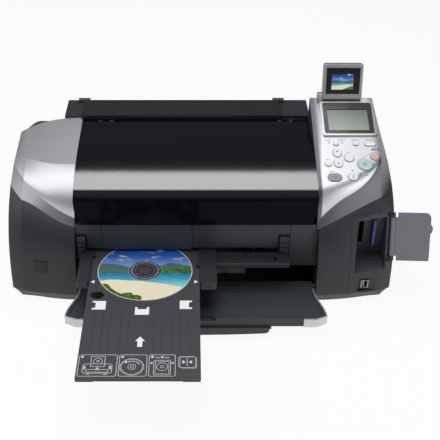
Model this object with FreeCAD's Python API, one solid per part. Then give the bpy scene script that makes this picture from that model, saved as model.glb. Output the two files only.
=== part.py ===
import FreeCAD
import Part
import math
import os

# Disc label printer: a desktop photo printer with a disc tray, a card bay, a sloping
# control panel and a small picture monitor.  Millimetres, +X right, +Y back, +Z up.
# The origin is the middle of the base pan's flat underside.

V = FreeCAD.Vector
X_AXIS, Y_AXIS, Z_AXIS = V(1, 0, 0), V(0, 1, 0), V(0, 0, 1)

# ---------------------------------------------------------------- driving sizes
BODY_HALF = 250.0          # half the body's width
BODY_BACK = 123.0          # back wall, from the origin
BODY_TOP = 182.0           # top of the cover at its hinge, above the base
FRONT = -104.0             # front of the body at its outer sides
PAN_HEIGHT = 15.0          # height of the base pan's rim
WALL = 2.5                 # moulded wall
SEAM = 0.3                 # gap between pieces that don't fit in each other
RUN = 0.05                 # radial clearance of a running fit
FOOT_R, FOOT_H, FOOT_OUT = 9.0, 4.0, 2.0

LID_LEFT, LID_RIGHT = -162.0, 147.0
LID_FRONT = -98.0          # glossy front face of the cover
LID_BOTTOM = 111.0         # lower edge of the cover
LID_BACK = 48.0            # rear edge of the cover
LID_WALL = 3.0

BAY_LEFT, BAY_RIGHT = -162.5, 150.0     # inner planes of the two side casings
FASCIA_Y = -97.0           # front of the strip under the cover
FASCIA_BOTTOM = 75.0

DISC_R, DISC_BORE_R, DISC_T = 60.0, 7.5, 1.2
DISC_TRAY_W, DISC_TRAY_L, DISC_TRAY_T = 137.6, 265.6, 2.8
DISC_TRAY_X = -71.6        # centre line of the disc path
DISC_TRAY_FRONT = -332.6
DISC_Y = -137.0
PATH_Z = 65.2              # underside of the disc tray
PATH_GAP = 0.4             # rollers and platen below the disc tray

OUT_TRAY_TOP = 28.0
OUT_TRAY_T = 12.0
OUT_TRAY_FRONT = -186.0
OUT_TRAY_BACK = -106.0
OUT_TRAY_LEFT, OUT_TRAY_RIGHT = -172.0, 157.5

PANEL_SLOPE = 22.25        # degrees
PANEL_Y = -66.0            # where the sloping panel starts
PANEL_DROP = 18.0          # how far that line lies under BODY_TOP
PANEL_LENGTH = 131.0
PANEL_BACK = 58.0
FAIRING_BACK = 62.0        # rear edge of the silver fairings

FRAME_LEFT, FRAME_RIGHT = -186.0, 178.0   # inner faces of the chassis side plates
SHEET = 1.6                               # chassis sheet metal
FEED_Y, EJECT_Y = 8.0, -66.0
FEED_R, EJECT_R, SHAFT_R = 6.0, 6.0, 4.0
GUIDE_ROD_Y, GUIDE_ROD_Z, GUIDE_ROD_R = -2.0, 100.0, 4.0
CARRIAGE_LEFT, CARRIAGE_W = 74.0, 100.0
BELT_Y, BELT_Z, PULLEY_R, BELT_W, BELT_T = 20.0, 125.0, 8.0, 5.0, 1.2
GEAR_MODULE = 1.0
FEED_TEETH, IDLER_TEETH, PINION_TEETH = 48, 26, 12
GEAR_W = 6.0

FEEDER_LEFT, FEEDER_RIGHT = -150.0, 100.0
FLAP_LEFT, FLAP_RIGHT = -165.0, 111.0
FLAP_FRONT, FLAP_BACK = 56.0, 101.0
FLAP_LOW = BODY_TOP + 1.0 - 1.8
FLAP_T = 5.6

DOOR_W, DOOR_H, DOOR_T = 48.0, 64.0, 3.0
DOOR_HINGE = V(BODY_HALF - 2.5, -101.5, 58.0)
DOOR_LEAN = 19.5           # the hinge line leans back with the body's front, degrees
DOOR_OPEN = 160.0

MONITOR_W, MONITOR_H, MONITOR_T = 53.0, 47.0, 10.0
MONITOR_LEFT = 163.0
MONITOR_LEAN = 12.0

# Stations across a side casing.  Each is the distance in from the outer side, then
# the front's bulge ahead of FRONT, and for the left and the right side: the edge where
# the dark casing meets the silver fairing, the edge of the bright top face, two poles
# of the brow that rounds it, the brow's end (each as distance behind FRONT and drop
# below BODY_TOP) and the drop of the fairing's rear edge.
STATIONS = [
    (105.0, 17.5,
     ((3, 78), (7, 70), (8, 38), (30, 19), (60, 14), 0),
     ((3, 78), (6, 70), (7, 42), (17, 27), (29, 21.7), -31.5)),
    (75.0, 16.4,
     ((9, 72), (17, 61), (20, 38), (38, 22), (64, 15), 1),
     ((11, 66), (18, 43), (19, 32), (24, 23.7), (31, 20.9), -31.5)),
    (45.0, 12.0,
     ((22, 60), (33, 48), (36, 36), (50, 26), (74, 18.5), 5),
     ((24, 56), (33, 31), (34, 25), (38, 18.1), (46, 14.7), -31.5)),
    (18.0, 7.0,
     ((34, 51), (60, 36), (66, 31), (80, 27.5), (100, 24), 14),
     ((36, 49), (58, 14), (60, 10.4), (64, 7.4), (72, 4.1), -31.5)),
    (9.0, 4.0,
     ((46, 47.5), (78, 34), (84, 32), (96, 29), (112, 27), 18),
     ((48, 46), (76, 23), (80, 20.5), (90, 17), (104, 12.5), -4)),
    (0.0, 0.0,
     ((61, 45), (96, 33), (101, 31.8), (112, 30), (128, 28), 23),
     ((61, 45), (94, 33), (99, 31.8), (111, 29.5), (127, 27), 22)),
]
CASING_REAR_DROP = 38.0    # the dark casing's top edge behind the fairings
CASING_SHOULDER_DROP = 27.0
CASING_DROOP = 10.0        # extra drop of the rear top edge at the outer side
REAR_ROUND = 14.0          # upright rear corners of the body


# ---------------------------------------------------------------- helpers
def box(x0, x1, y0, y1, z0, z1):
    return Part.makeBox(x1 - x0, y1 - y0, z1 - z0, V(x0, y0, z0))


def rod_x(x0, x1, y, z, r):
    return Part.makeCylinder(r, x1 - x0, V(x0, y, z), X_AXIS)


def rod_y(y0, y1, x, z, r):
    return Part.makeCylinder(r, y1 - y0, V(x, y0, z), Y_AXIS)


def rod_z(z0, z1, x, y, r):
    return Part.makeCylinder(r, z1 - z0, V(x, y, z0), Z_AXIS)


def fuse(shapes):
    first, rest = shapes[0], shapes[1:]
    return first.fuse(rest).removeSplitter() if rest else first


def polygon(points):
    return Part.Face(Part.makePolygon(points + [points[0]]))


def plate_x(points, x0, x1):
    """Outline of (y, z) points, as thick as x0 to x1."""
    return polygon([V(x0, y, z) for y, z in points]).extrude(V(x1 - x0, 0, 0))


def plate_y(points, y0, y1):
    return polygon([V(x, y0, z) for x, z in points]).extrude(V(0, y1 - y0, 0))


def plate_z(points, z0, z1):
    return polygon([V(x, y, z0) for x, y in points]).extrude(V(0, 0, z1 - z0))


def round_edges(shape, radius, wanted):
    edges = [edge for edge in shape.Edges if wanted(edge)]
    return shape.makeFillet(radius, edges)


def along_axis(axis):
    def test(edge):
        if not isinstance(edge.Curve, Part.Line):
            return False
        return abs(edge.tangentAt(edge.FirstParameter).dot(axis)) > 0.999
    return test


def rounded_box(x0, x1, y0, y1, z0, z1, radius, axis=Z_AXIS):
    return round_edges(box(x0, x1, y0, y1, z0, z1), radius, along_axis(axis))


def curve(points):
    if len(points) == 2:
        return Part.makeLine(points[0], points[1])
    spline = Part.BSplineCurve()
    spline.interpolate(points)
    return spline.toShape()


def bend(poles):
    """Straight edge, or a Bezier curve led by the poles between its ends."""
    if len(poles) == 2:
        return Part.makeLine(poles[0], poles[1])
    bezier = Part.BezierCurve()
    bezier.setPoles(poles)
    return bezier.toShape()


def section(x, runs, edge=bend):
    """Closed wire at x, from runs of (y, z) points that share their ends."""
    return Part.Wire([edge([V(x, y, z) for y, z in run]) for run in runs])


def tilted(shape, pivot, axis, degrees):
    moved = shape.copy()
    moved.rotate(pivot, axis, degrees)
    return moved


# ---------------------------------------------------------------- body surfaces
def lerp(a, b, t):
    if isinstance(a, tuple):
        return tuple(lerp(p, q, t) for p, q in zip(a, b))
    return a + (b - a) * t


def station(depth):
    """The row of STATIONS at this distance in from the side, between its neighbours."""
    for outer, inner in zip(STATIONS[1:], STATIONS):
        if depth >= outer[0]:
            return lerp(outer, inner, (depth - outer[0]) / (inner[0] - outer[0]))
    return STATIONS[-1]


def front_y(depth):
    return FRONT - station(depth)[1]


def casing_runs(depth, side, inset):
    """Dark casing: rear wall, shoulder under the fairing, leaning front, floor."""
    row = station(depth)
    seam_edge = row[2 if side < 0 else 3][0]
    rear = BODY_BACK - inset
    nose = front_y(depth) + inset
    low = PAN_HEIGHT - (1.0 if inset else 0.0)
    edge = (FRONT + seam_edge[0] + inset, BODY_TOP - seam_edge[1] - inset)
    shoulder = (FAIRING_BACK - 1.0, BODY_TOP - CASING_SHOULDER_DROP - inset)
    droop = CASING_DROOP * max(0.0, 1.0 - depth / 18.0) ** 2
    rear_top = (rear, BODY_TOP - CASING_REAR_DROP - droop - inset)
    lean = (nose + 0.16 * (edge[0] - nose), low + 0.78 * (edge[1] - low))
    upright = (nose, low + 0.40 * (edge[1] - low))
    return [[(rear, low), rear_top], [rear_top, shoulder], [shoulder, edge],
            [edge, lean, upright, (nose, low)], [(nose, low), (rear, low)]]


def fairing_runs(depth, side, inset):
    """Silver top: bevel, bright crown, back edge and the underside on the casing."""
    row = station(depth)
    seam_edge, bright_edge, brow_1, brow_2, brow_end, back_drop = row[2 if side < 0 else 3]
    rise = SEAM - (1.0 if inset else 0.0)
    back = (PANEL_BACK if side > 0 and back_drop < 0 else FAIRING_BACK) - inset
    low_front = (FRONT + seam_edge[0] + inset * 1.5, BODY_TOP - seam_edge[1] + rise)
    low_back = (back, BODY_TOP - CASING_SHOULDER_DROP + rise)
    top_back = (back, BODY_TOP - back_drop - inset * 1.08)
    brow = [(FRONT + y + inset * ahead, BODY_TOP - drop - inset * under)
            for (y, drop), ahead, under in ((bright_edge, 1.0, 0.7), (brow_1, 1.0, 0.6),
                                            (brow_2, 0.6, 0.9), (brow_end, 0.2, 1.0))]
    return [[low_front, brow[0]], brow, [brow[-1], top_back], [top_back, low_back],
            [low_back, low_front]]


def across(runs, side, inner_plane, inset=0.0):
    """Solid between a casing's inner plane and its outer side."""
    inner_depth = BODY_HALF - abs(inner_plane)
    depths = [inner_depth] + [row[0] for row in STATIONS if row[0] < inner_depth - 6]
    depths = [max(depth, inset) for depth in depths]
    crest = [depth for depth in depths if depth >= 17]
    edge = [depth for depth in depths if depth <= 19]
    lofts = []
    for group in (crest, edge):
        wires = [section(side * (BODY_HALF - depth), runs(depth, side, inset)) for depth in group]
        lofts.append(Part.makeLoft(wires, True, False))
    return fuse(lofts).common(rounded_rear(inset))


def pod_outline(side, inner_plane, inset, z):
    """Plan outline of one pod at height z: bulged front and straight sides."""
    inner_depth = BODY_HALF - abs(inner_plane)
    depths = [inner_depth] + [row[0] for row in STATIONS if row[0] < inner_depth - 6]
    front = [V(side * (BODY_HALF - max(depth, inset)), front_y(depth) + inset, z)
             for depth in depths]
    back_outer = V(side * (BODY_HALF - inset), BODY_BACK - inset, z)
    back_inner = V(inner_plane, BODY_BACK - inset, z)
    return Part.Wire([curve(front), Part.makeLine(front[-1], back_outer),
                      Part.makeLine(back_outer, back_inner), Part.makeLine(back_inner, front[0])])


def rounded_rear(inset=0.0):
    """Everything inside the body's sides and its rounded upright rear corners."""
    return rounded_box(-BODY_HALF + inset, BODY_HALF - inset, -400, BODY_BACK - inset, -10,
                       BODY_TOP + 60, REAR_ROUND - inset)


# ---------------------------------------------------------------- body mouldings
def base_pan():
    taper, floor = 9.0, 3.0
    shapes, hollows = [], []
    for side, inner in ((-1, BAY_LEFT), (1, BAY_RIGHT)):
        shapes.append(Part.makeLoft([pod_outline(side, inner, taper, 0),
                                     pod_outline(side, inner, 0, PAN_HEIGHT)], True))
        hollows.append(Part.makeLoft([pod_outline(side, inner, taper + WALL, floor),
                                      pod_outline(side, inner, WALL, PAN_HEIGHT + 1)], True))
    sill = OUT_TRAY_BACK + 2.0
    shapes.append(box(BAY_LEFT, BAY_RIGHT, sill, BODY_BACK - taper, 0, PAN_HEIGHT))
    hollows.append(box(BAY_LEFT - 10, BAY_RIGHT + 10, sill + WALL, BODY_BACK - taper - WALL,
                       floor, PAN_HEIGHT + 1))
    solid = fuse(shapes).common(rounded_rear())
    pan = solid.cut(fuse(hollows).common(rounded_rear(WALL)))
    ribs = [box(x - 1, x + 1, sill + WALL, BODY_BACK - taper - WALL, floor - 0.5, floor + 4)
            for x in (-154.0, 143.0)]
    pan = pan.fuse([rib.common(solid) for rib in ribs]).removeSplitter()
    pockets = [rod_z(-1, FOOT_H - FOOT_OUT, x, y, FOOT_R + 0.5) for x, y in FEET]
    bosses = [rod_z(0, FOOT_H - FOOT_OUT + WALL, x, y, FOOT_R + 3) for x, y in FEET]
    return pan.fuse(bosses).removeSplitter().cut(pockets)


FEET = [(-215.0, -85.0), (215.0, -80.0), (-215.0, 95.0), (215.0, 95.0)]


def rubber_feet():
    pads = []
    for x, y in FEET:
        pad = rod_z(-FOOT_OUT, FOOT_H - FOOT_OUT, x, y, FOOT_R)
        pads.append(round_edges(pad, 1.0, lambda edge: abs(edge.CenterOfMass.z + FOOT_OUT) < 0.1
                                and isinstance(edge.Curve, Part.Circle)))
    return Part.makeCompound(pads)


CHEEK_BACK = -86.0         # the casings' inner walls beside the exit run back to here


def side_casing(side, inner):
    skin = across(casing_runs, side, inner)
    hollow = across(casing_runs, side, inner - side * 1.0, WALL)
    cheek = box(min(inner, inner + side * WALL), max(inner, inner + side * WALL),
                FRONT - 30, CHEEK_BACK, 0, BODY_TOP)
    casing = skin.cut(hollow.cut(cheek))
    bay_end = side * (BODY_HALF - 58)
    opening = box(min(inner - side, bay_end), max(inner - side, bay_end),
                  -84, FAIRING_BACK - 2 * WALL, 60, BODY_TOP)
    rear_cut = box(min(inner - side, REAR_ENDS[side]), max(inner - side, REAR_ENDS[side]),
                   FAIRING_BACK - 2 * WALL, BODY_BACK + 1, 0, BODY_TOP)
    tray_bore = rod_x(inner - 2 * WALL, inner + 2 * WALL, TRAY_AXIS.y, TRAY_AXIS.z,
                      TRAY_PIN_R + RUN)
    return casing.cut([opening, rear_cut, tray_bore])


REAR_ENDS = {-1: -187.6, 1: 150.6}


def left_side_casing():
    casing = side_casing(-1, BAY_LEFT)
    inlet = box(INLET_X - INLET_W / 2 - SEAM, INLET_X + INLET_W / 2 + SEAM, BODY_BACK - 10,
                BODY_BACK + 1, INLET_Z - INLET_H / 2 - SEAM, INLET_Z + INLET_H / 2 + SEAM)
    vents = [box(-BODY_HALF - 1, -BODY_HALF + 6, y, y + 3, 40, 95)
             for y in [20.0 + 9.0 * i for i in range(8)]]
    return casing.cut([inlet] + vents)


INSERT_LEFT, INSERT_TOP, INSERT_BACK = BODY_HALF - 58.0, 124.0, -40.0


def insert_region():
    """Corner of the right casing that the card bay's moulding takes up."""
    top = [(FRONT - 30, INSERT_TOP - 16), (-70, INSERT_TOP), (INSERT_BACK, INSERT_TOP + 4),
           (INSERT_BACK, PAN_HEIGHT - 2), (FRONT - 30, PAN_HEIGHT - 2)]
    return plate_x(top, INSERT_LEFT, BODY_HALF + 5)


def right_side_casing():
    return side_casing(1, BAY_RIGHT).cut(insert_region())


def left_top_fairing():
    skin = across(fairing_runs, -1, BAY_LEFT)
    flap_corner = box(FLAP_LEFT - SEAM, BAY_LEFT + 1, FLAP_FRONT + 1, FAIRING_BACK + 1,
                      FLAP_LOW - SEAM, BODY_TOP + 10)
    return skin.cut([across(fairing_runs, -1, BAY_LEFT + 1, WALL), flap_corner])


# ---------------------------------------------------------------- control panel
def on_panel(shape):
    """Puts a shape drawn flat, with y up the slope, onto the sloping panel."""
    placed = shape.copy()
    placed.rotate(V(0, 0, 0), X_AXIS, PANEL_SLOPE)
    placed.translate(V(0, PANEL_Y, BODY_TOP - PANEL_DROP))
    return placed


def oval(x, s, half_w, half_h, low, high):
    """Flat-sided or round stud, half_w across and half_h up the slope."""
    if abs(half_w - half_h) < 0.01:
        return rod_z(low, high, x, s, half_w)
    radius = min(half_w, half_h)
    return rounded_box(x - half_w, x + half_w, s - half_h, s + half_h, low, high, radius - 0.01)


BUTTONS = {
    "mode": (175.7, 52.6, 3.2, 2.4),
    "custom": (201.8, 52.6, 3.2, 2.4),
    "options": (220.1, 51.8, 6.8, 2.6),
    "up": (176.1, 38.2, 5.2, 7.0),
    "down": (176.1, 21.6, 5.2, 7.0),
    "ok": (190.6, 29.6, 6.0, 6.0),
    "back": (163.1, 20.4, 4.2, 4.2),
    "stop": (223.8, 31.2, 5.2, 5.2),
    "start": (210.4, 18.6, 8.8, 8.8),
    "power": (169.5, -1.6, 8.6, 6.2),
    "maintenance": (193.0, -0.8, 6.2, 4.8),
}
BUTTON_GAP = 0.3
BUTTON_RISE = 1.3          # cap above the panel
BUTTON_TRAVEL = 0.8
FLANGE_T, FLANGE_OUT = 1.0, 0.9
PANEL_T = 2.5
LCD = (159.5, 231.5, 65.7, 124.2)        # raised frame of the display: x, then s
BEZEL = (163.0, 227.8, 68.9, 121.4)
WINDOW = (168.4, 222.0, 74.5, 110.8)
LCD_RISE, GLASS_T = 2.2, 1.2
LEDS = [(167.4, 55.1), (183.9, 55.1), (192.8, 9.2)]
PILLS = [(226.5, 43.5, 5.6, 1.7), (217.4, 3.0, 9.0, 2.0)]


def button(name):
    x, s, half_w, half_h = BUTTONS[name]
    cap = oval(x, s, half_w, half_h, -PANEL_T - BUTTON_GAP, BUTTON_RISE)
    cap = round_edges(cap, 0.5, lambda edge: abs(edge.CenterOfMass.z - BUTTON_RISE) < 0.01)
    low = -PANEL_T - BUTTON_GAP - FLANGE_T
    flange = oval(x, s, half_w + FLANGE_OUT, half_h + FLANGE_OUT, low, low + FLANGE_T)
    return on_panel(cap.fuse(flange).removeSplitter())


def control_panel_housing():
    inner = LID_RIGHT + SEAM + 0.2
    skin = across(fairing_runs, 1, inner)
    skin = skin.fuse(on_panel(rounded_box(*LCD, -1, LCD_RISE, 4.0))).removeSplitter()
    hollow = across(fairing_runs, 1, inner + WALL, WALL)
    holes = [on_panel(oval(x, s, w + BUTTON_GAP, h + BUTTON_GAP, -PANEL_T - 8, 5))
             for x, s, w, h in BUTTONS.values()]
    seat = on_panel(rounded_box(BEZEL[0] - SEAM, BEZEL[1] + SEAM, BEZEL[2] - SEAM,
                                BEZEL[3] + SEAM, -8, LCD_RISE + 1, 3.0))
    leds = [on_panel(rounded_box(x - 1.4, x + 1.4, s - 0.8, s + 0.8, -0.4, 2, 0.6))
            for x, s in LEDS]
    pills = [on_panel(rounded_box(x - w, x + w, s - h, s + h, -0.3, 2, h - 0.1))
             for x, s, w, h in PILLS]
    bracket = box(157.0, MONITOR_LEFT - SEAM, PANEL_BACK - 9, PANEL_BACK, 205, MONITOR_PIVOT.z + 4)
    bracket = round_edges(bracket, 2.5, along_axis(X_AXIS))
    deck = on_panel(box(150, BODY_HALF, -14, PANEL_LENGTH - 2, -PANEL_T, 0)).common(skin)
    wells = [on_panel(oval(x, s, w + FLANGE_OUT + SEAM, h + FLANGE_OUT + SEAM, BOARD_LOW, -PANEL_T))
             for x, s, w, h in BUTTONS.values()]
    carriage_way = box(inner - 1, inner + WALL + 0.5, TUB_FRONT - 5, CHASSIS_Y + 10, 60,
                       CHASSIS_TOP + 2)
    housing = skin.cut(hollow).fuse([bracket, deck]).removeSplitter().cut(wells + [carriage_way])
    pin_hole = rod_x(150, MONITOR_LEFT, MONITOR_PIVOT.y, MONITOR_PIVOT.z, PIN_R + RUN)
    return housing.cut(holes + leds + pills + [seat, pin_hole])


def lcd_bezel():
    frame = rounded_box(*BEZEL, -PANEL_T - 3, LCD_RISE - 0.4, 2.7)
    window = rounded_box(*WINDOW, -PANEL_T - 4, LCD_RISE, 1.0)
    step = 2.0
    ledge = box(WINDOW[0] - step, WINDOW[1] + step, WINDOW[2] - step, WINDOW[3] + step,
                -PANEL_T - 4, LCD_RISE - 0.4 - GLASS_T)
    return on_panel(frame.cut([window, ledge]))


def lcd_glass():
    step = 2.0 - 0.2
    top = LCD_RISE - 0.4 - GLASS_T
    return on_panel(box(WINDOW[0] - step, WINDOW[1] + step, WINDOW[2] - step,
                        WINDOW[3] + step, top - GLASS_T - 0.1, top - 0.1))


BOARD_POSTS = [(188.0, 57.0), (159.0, 44.0), (158.5, 9.5), (220.5, 42.5)]
BOARD_LOW = -PANEL_T - BUTTON_GAP - FLANGE_T - BUTTON_TRAVEL - 2.2


def panel_board():
    board = plate_z([(156, -6), (190, -6), (205, 6), (226, 24), (226, 60), (156, 60)],
                    BOARD_LOW - 1.6, BOARD_LOW)
    domes = [rod_z(BOARD_LOW, BOARD_LOW + 1.9, x, s, 2.0) for x, s, _, _ in BUTTONS.values()]
    posts = [rod_z(BOARD_LOW, -PANEL_T - 0.1, x, s, 2.0) for x, s in BOARD_POSTS]
    return on_panel(fuse([board] + domes + posts))


MONITOR_PIVOT = V(MONITOR_LEFT, 53.0, 219.0)
PIN_R = 1.8


def monitor_housing():
    x0, y0, z0 = MONITOR_PIVOT.x, MONITOR_PIVOT.y, MONITOR_PIVOT.z
    shell = box(x0, x0 + MONITOR_W, y0 - MONITOR_T / 2, y0 + MONITOR_T / 2, z0 - 3, z0 + MONITOR_H - 3)
    shell = round_edges(shell, 3.5, lambda edge: along_axis(Y_AXIS)(edge)
                        and edge.CenterOfMass.z > z0)
    shell = round_edges(shell, 1.2, lambda edge: edge.CenterOfMass.z > z0 + MONITOR_H - 3.2)
    recess = box(x0 + 4, x0 + MONITOR_W - 4, y0 - MONITOR_T / 2 - 1, y0 - MONITOR_T / 2 + 1.6,
                 z0 + 3.5, z0 + MONITOR_H - 8)
    pin = rod_x(x0 - 5.0, x0 + 1, y0, z0, PIN_R)
    return tilted(shell.cut(recess).fuse(pin), MONITOR_PIVOT, X_AXIS, -MONITOR_LEAN)


def monitor_screen():
    x0, y0, z0 = MONITOR_PIVOT.x, MONITOR_PIVOT.y, MONITOR_PIVOT.z
    front = y0 - MONITOR_T / 2
    glass = box(x0 + 4.2, x0 + MONITOR_W - 4.2, front + 0.3, front + 1.6, z0 + 3.7,
                z0 + MONITOR_H - 8.2)
    return tilted(glass, MONITOR_PIVOT, X_AXIS, -MONITOR_LEAN)


# ---------------------------------------------------------------- cover
LID_AXIS = V(0, 52.0, BODY_TOP - 6.0)
LID_LUGS = (-130.0, 116.0)
LUG_W, LUG_R, LID_PIN_R, LID_PIN_OUT = 10.0, 4.5, 2.5, 4.0


def lid_profile(inset, x):
    """Cover in section: shallow top, curved brow, sharp edge, upright front."""
    top = BODY_TOP - inset
    brow = [(LID_BACK, top), (-10, top - 5.2), (-64, top - 15), (-88 + 0.5 * inset, top - 25.5),
            (LID_FRONT + 1 + inset, top - 32.5 + 0.3 * inset)]
    edge = (LID_FRONT + inset, top - 35 + 0.3 * inset)
    foot = (LID_FRONT + inset, LID_BOTTOM - (1.0 if inset else 0.0))
    heel = (LID_BACK, foot[1])
    runs = [brow, [brow[-1], edge], [edge, foot], [foot, heel], [heel, brow[0]]]
    return Part.Face(section(x, runs, curve))


def lid_solid(inset, x0, x1):
    return lid_profile(inset, x0).extrude(V(x1 - x0, 0, 0))


def lid_front_outline():
    """Front view of the cover: straight sides that draw in towards the lower edge."""
    narrow, start = 6.5, LID_BOTTOM + 28.0
    left = [V(LID_LEFT, 0, start), V(LID_LEFT + 0.28 * narrow, 0, LID_BOTTOM + 14),
            V(LID_LEFT + narrow, 0, LID_BOTTOM - 2)]
    right = [V(LID_LEFT + LID_RIGHT - p.x, 0, p.z) for p in left]
    top = BODY_TOP + 5
    edges = [curve(left), Part.makeLine(left[-1], right[-1]), curve(list(reversed(right))),
             Part.makeLine(right[0], V(LID_RIGHT, 0, top)),
             Part.makeLine(V(LID_RIGHT, 0, top), V(LID_LEFT, 0, top)),
             Part.makeLine(V(LID_LEFT, 0, top), left[0])]
    face = Part.Face(Part.Wire(edges))
    face.translate(V(0, LID_FRONT - 20, 0))
    return face.extrude(V(0, LID_BACK - LID_FRONT + 40, 0))


def top_cover():
    body = lid_solid(0, LID_LEFT, LID_RIGHT)
    hollow = lid_solid(LID_WALL, LID_LEFT + LID_WALL + 6, LID_RIGHT - LID_WALL - 6)
    below = lid_solid(9.0, LID_LEFT - 1, LID_RIGHT + 1)
    cover = body.cut([hollow, below]).common(lid_front_outline())
    y, z = LID_AXIS.y, LID_AXIS.z
    for x in LID_LUGS:
        web = plate_x([(LID_BACK - 16, BODY_TOP - 2), (LID_BACK - 16, z), (y, z - LUG_R),
                       (y, z + LUG_R)], x - LUG_W / 2, x + LUG_W / 2)
        knuckle = rod_x(x - LUG_W / 2, x + LUG_W / 2, y, z, LUG_R)
        pin = rod_x(x - LUG_W / 2 - LID_PIN_OUT, x + LUG_W / 2 + LID_PIN_OUT, y, z, LID_PIN_R)
        cover = cover.fuse([web, knuckle, pin])
    return cover.removeSplitter()


# ---------------------------------------------------------------- rear
REAR_LEFT, REAR_RIGHT = REAR_ENDS[-1] + SEAM, REAR_ENDS[1] - SEAM
EAR_TOP = BODY_TOP + 2.0
FLAP_AXIS = V(0, 106.0, FLAP_LOW + 4.0)
FLAP_PIN_R, FLAP_BOSS_R = 2.0, 4.0
THROAT_BACK = 99.0
GUTTER_Z = LID_AXIS.z - 8.0    # floor of the gutter that the cover's rear edge turns over
SLOT_LOW, SLOT_HIGH = PATH_Z - 4.7, PATH_Z + 8.0


def rear_casing():
    outer = box(REAR_LEFT, REAR_RIGHT, FAIRING_BACK + SEAM, BODY_BACK, PAN_HEIGHT, EAR_TOP)
    outer = round_edges(outer, 16.0, lambda edge: along_axis(X_AXIS)(edge)
                        and edge.CenterOfMass.z > EAR_TOP - 1 and edge.CenterOfMass.y > 100)
    ceiling = FLAP_LOW - SEAM - WALL
    hollow = box(REAR_LEFT + WALL, REAR_RIGHT - WALL, FAIRING_BACK - 1, BODY_BACK - WALL,
                 PAN_HEIGHT - 1, ceiling)
    hollow = round_edges(hollow, 12.0, lambda edge: along_axis(X_AXIS)(edge)
                         and edge.CenterOfMass.z > ceiling - 1 and edge.CenterOfMass.y > 100)
    nest = box(FLAP_LEFT - SEAM, FLAP_RIGHT + SEAM, FAIRING_BACK - 1, FLAP_AXIS.y + 6,
               FLAP_LOW - SEAM, EAR_TOP + 1)
    throat = box(FEEDER_LEFT + 2, FEEDER_RIGHT - 2, FAIRING_BACK + 2, THROAT_BACK,
                 ceiling - 1, EAR_TOP)
    slot = box(DISC_TRAY_X - DISC_TRAY_W / 2 - 4, DISC_TRAY_X + DISC_TRAY_W / 2 + 4,
               BODY_BACK - 10, BODY_BACK + 1, SLOT_LOW, SLOT_HIGH)
    usb = box(USB_B_X - 6.3, USB_B_X + 6.3, BODY_BACK - 5, BODY_BACK + 1, 34.7, 47.3)
    casing = outer.cut([hollow, nest, throat, slot, usb])
    bosses, holes = [], []
    for x0, x1 in ((FLAP_LEFT - 7, FLAP_LEFT - SEAM), (FLAP_RIGHT + SEAM, FLAP_RIGHT + 7)):
        bosses.append(rod_x(x0, x1, FLAP_AXIS.y, FLAP_AXIS.z, FLAP_BOSS_R))
        holes.append(rod_x(x0 - 1, x1 + 1, FLAP_AXIS.y, FLAP_AXIS.z, FLAP_PIN_R + RUN))
    gutter = box(LID_LEFT + 1, LID_RIGHT - 1, LID_BACK - 4, FAIRING_BACK + 1, GUTTER_Z - WALL,
                 GUTTER_Z)
    riser = box(LID_LEFT + 1, LID_RIGHT - 1, FAIRING_BACK - 1.5, FAIRING_BACK + 1, GUTTER_Z - WALL,
                ceiling + 1)
    bosses += [gutter, riser]
    y, z = LID_AXIS.y, LID_AXIS.z
    for x in LID_LUGS:
        for side in (-1, 1):
            near = x + side * (LUG_W / 2 + SEAM)
            far = near + side * (LID_PIN_OUT + 1)
            lug = box(min(near, far), max(near, far), y, FAIRING_BACK + 3, z - 4, z + 4)
            bosses += [lug, rod_x(min(near, far), max(near, far), y, z, 4.0)]
        reach = LUG_W / 2 + LID_PIN_OUT + 3
        holes.append(rod_x(x - reach, x + reach, y, z, LID_PIN_R + RUN))
    return casing.fuse(bosses).removeSplitter().cut(holes)


def paper_support():
    plate = rounded_box(FLAP_LEFT, FLAP_RIGHT, FLAP_FRONT + 1.5, FLAP_BACK, FLAP_LOW,
                        FLAP_LOW + FLAP_T, 3.0)
    grooves = [box(x - 1, x + 1, FLAP_FRONT + 8, FLAP_BACK - 6, FLAP_LOW + FLAP_T - 0.6,
                   FLAP_LOW + FLAP_T + 1) for x in (-120.0, 66.0)]
    pocket = box(EXT_LEFT - SEAM, EXT_RIGHT + SEAM, FLAP_FRONT - 5, FLAP_BACK - 2,
                 EXT_LOW - SEAM, EXT_LOW + EXT_T + SEAM)
    plate = plate.cut(grooves + [pocket])
    y, z = FLAP_AXIS.y, FLAP_AXIS.z
    for x0, x1, tip in ((FLAP_LEFT, FLAP_LEFT + 9, FLAP_LEFT - 5),
                        (FLAP_RIGHT - 9, FLAP_RIGHT, FLAP_RIGHT + 5)):
        arm = box(x0, x1, FLAP_BACK - 2, y, FLAP_LOW, FLAP_LOW + FLAP_T)
        boss = rod_x(x0, x1, y, z, FLAP_BOSS_R)
        pin = rod_x(min(x0, tip), max(x1, tip), y, z, FLAP_PIN_R)
        plate = plate.fuse([arm, boss, pin])
    return plate.removeSplitter()


EXT_LEFT, EXT_RIGHT, EXT_T = -100.0, 46.0, 2.0
EXT_LOW = FLAP_LOW + 1.8


def support_extension():
    plate = box(EXT_LEFT, EXT_RIGHT, FLAP_FRONT, FLAP_BACK - 2.5, EXT_LOW, EXT_LOW + EXT_T)
    lip = box(EXT_LEFT, EXT_RIGHT, FLAP_FRONT - 0.4, FLAP_FRONT + 1.2, EXT_LOW, EXT_LOW + EXT_T + 1)
    return plate.fuse(lip).removeSplitter()


# ---------------------------------------------------------------- sheet feeder
CHUTE_TOP = (100.0, BODY_TOP - 7.0)
CHUTE_LEAN = 16.4                        # the chute leans back, degrees from upright
CHUTE_LENGTH = 94.0


def chute(down, forward):
    """(y, z) at a distance down the chute and forward of its back plate."""
    rad = math.radians(CHUTE_LEAN)
    return (CHUTE_TOP[0] - down * math.sin(rad) - forward * math.cos(rad),
            CHUTE_TOP[1] - down * math.cos(rad) + forward * math.sin(rad))


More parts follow.
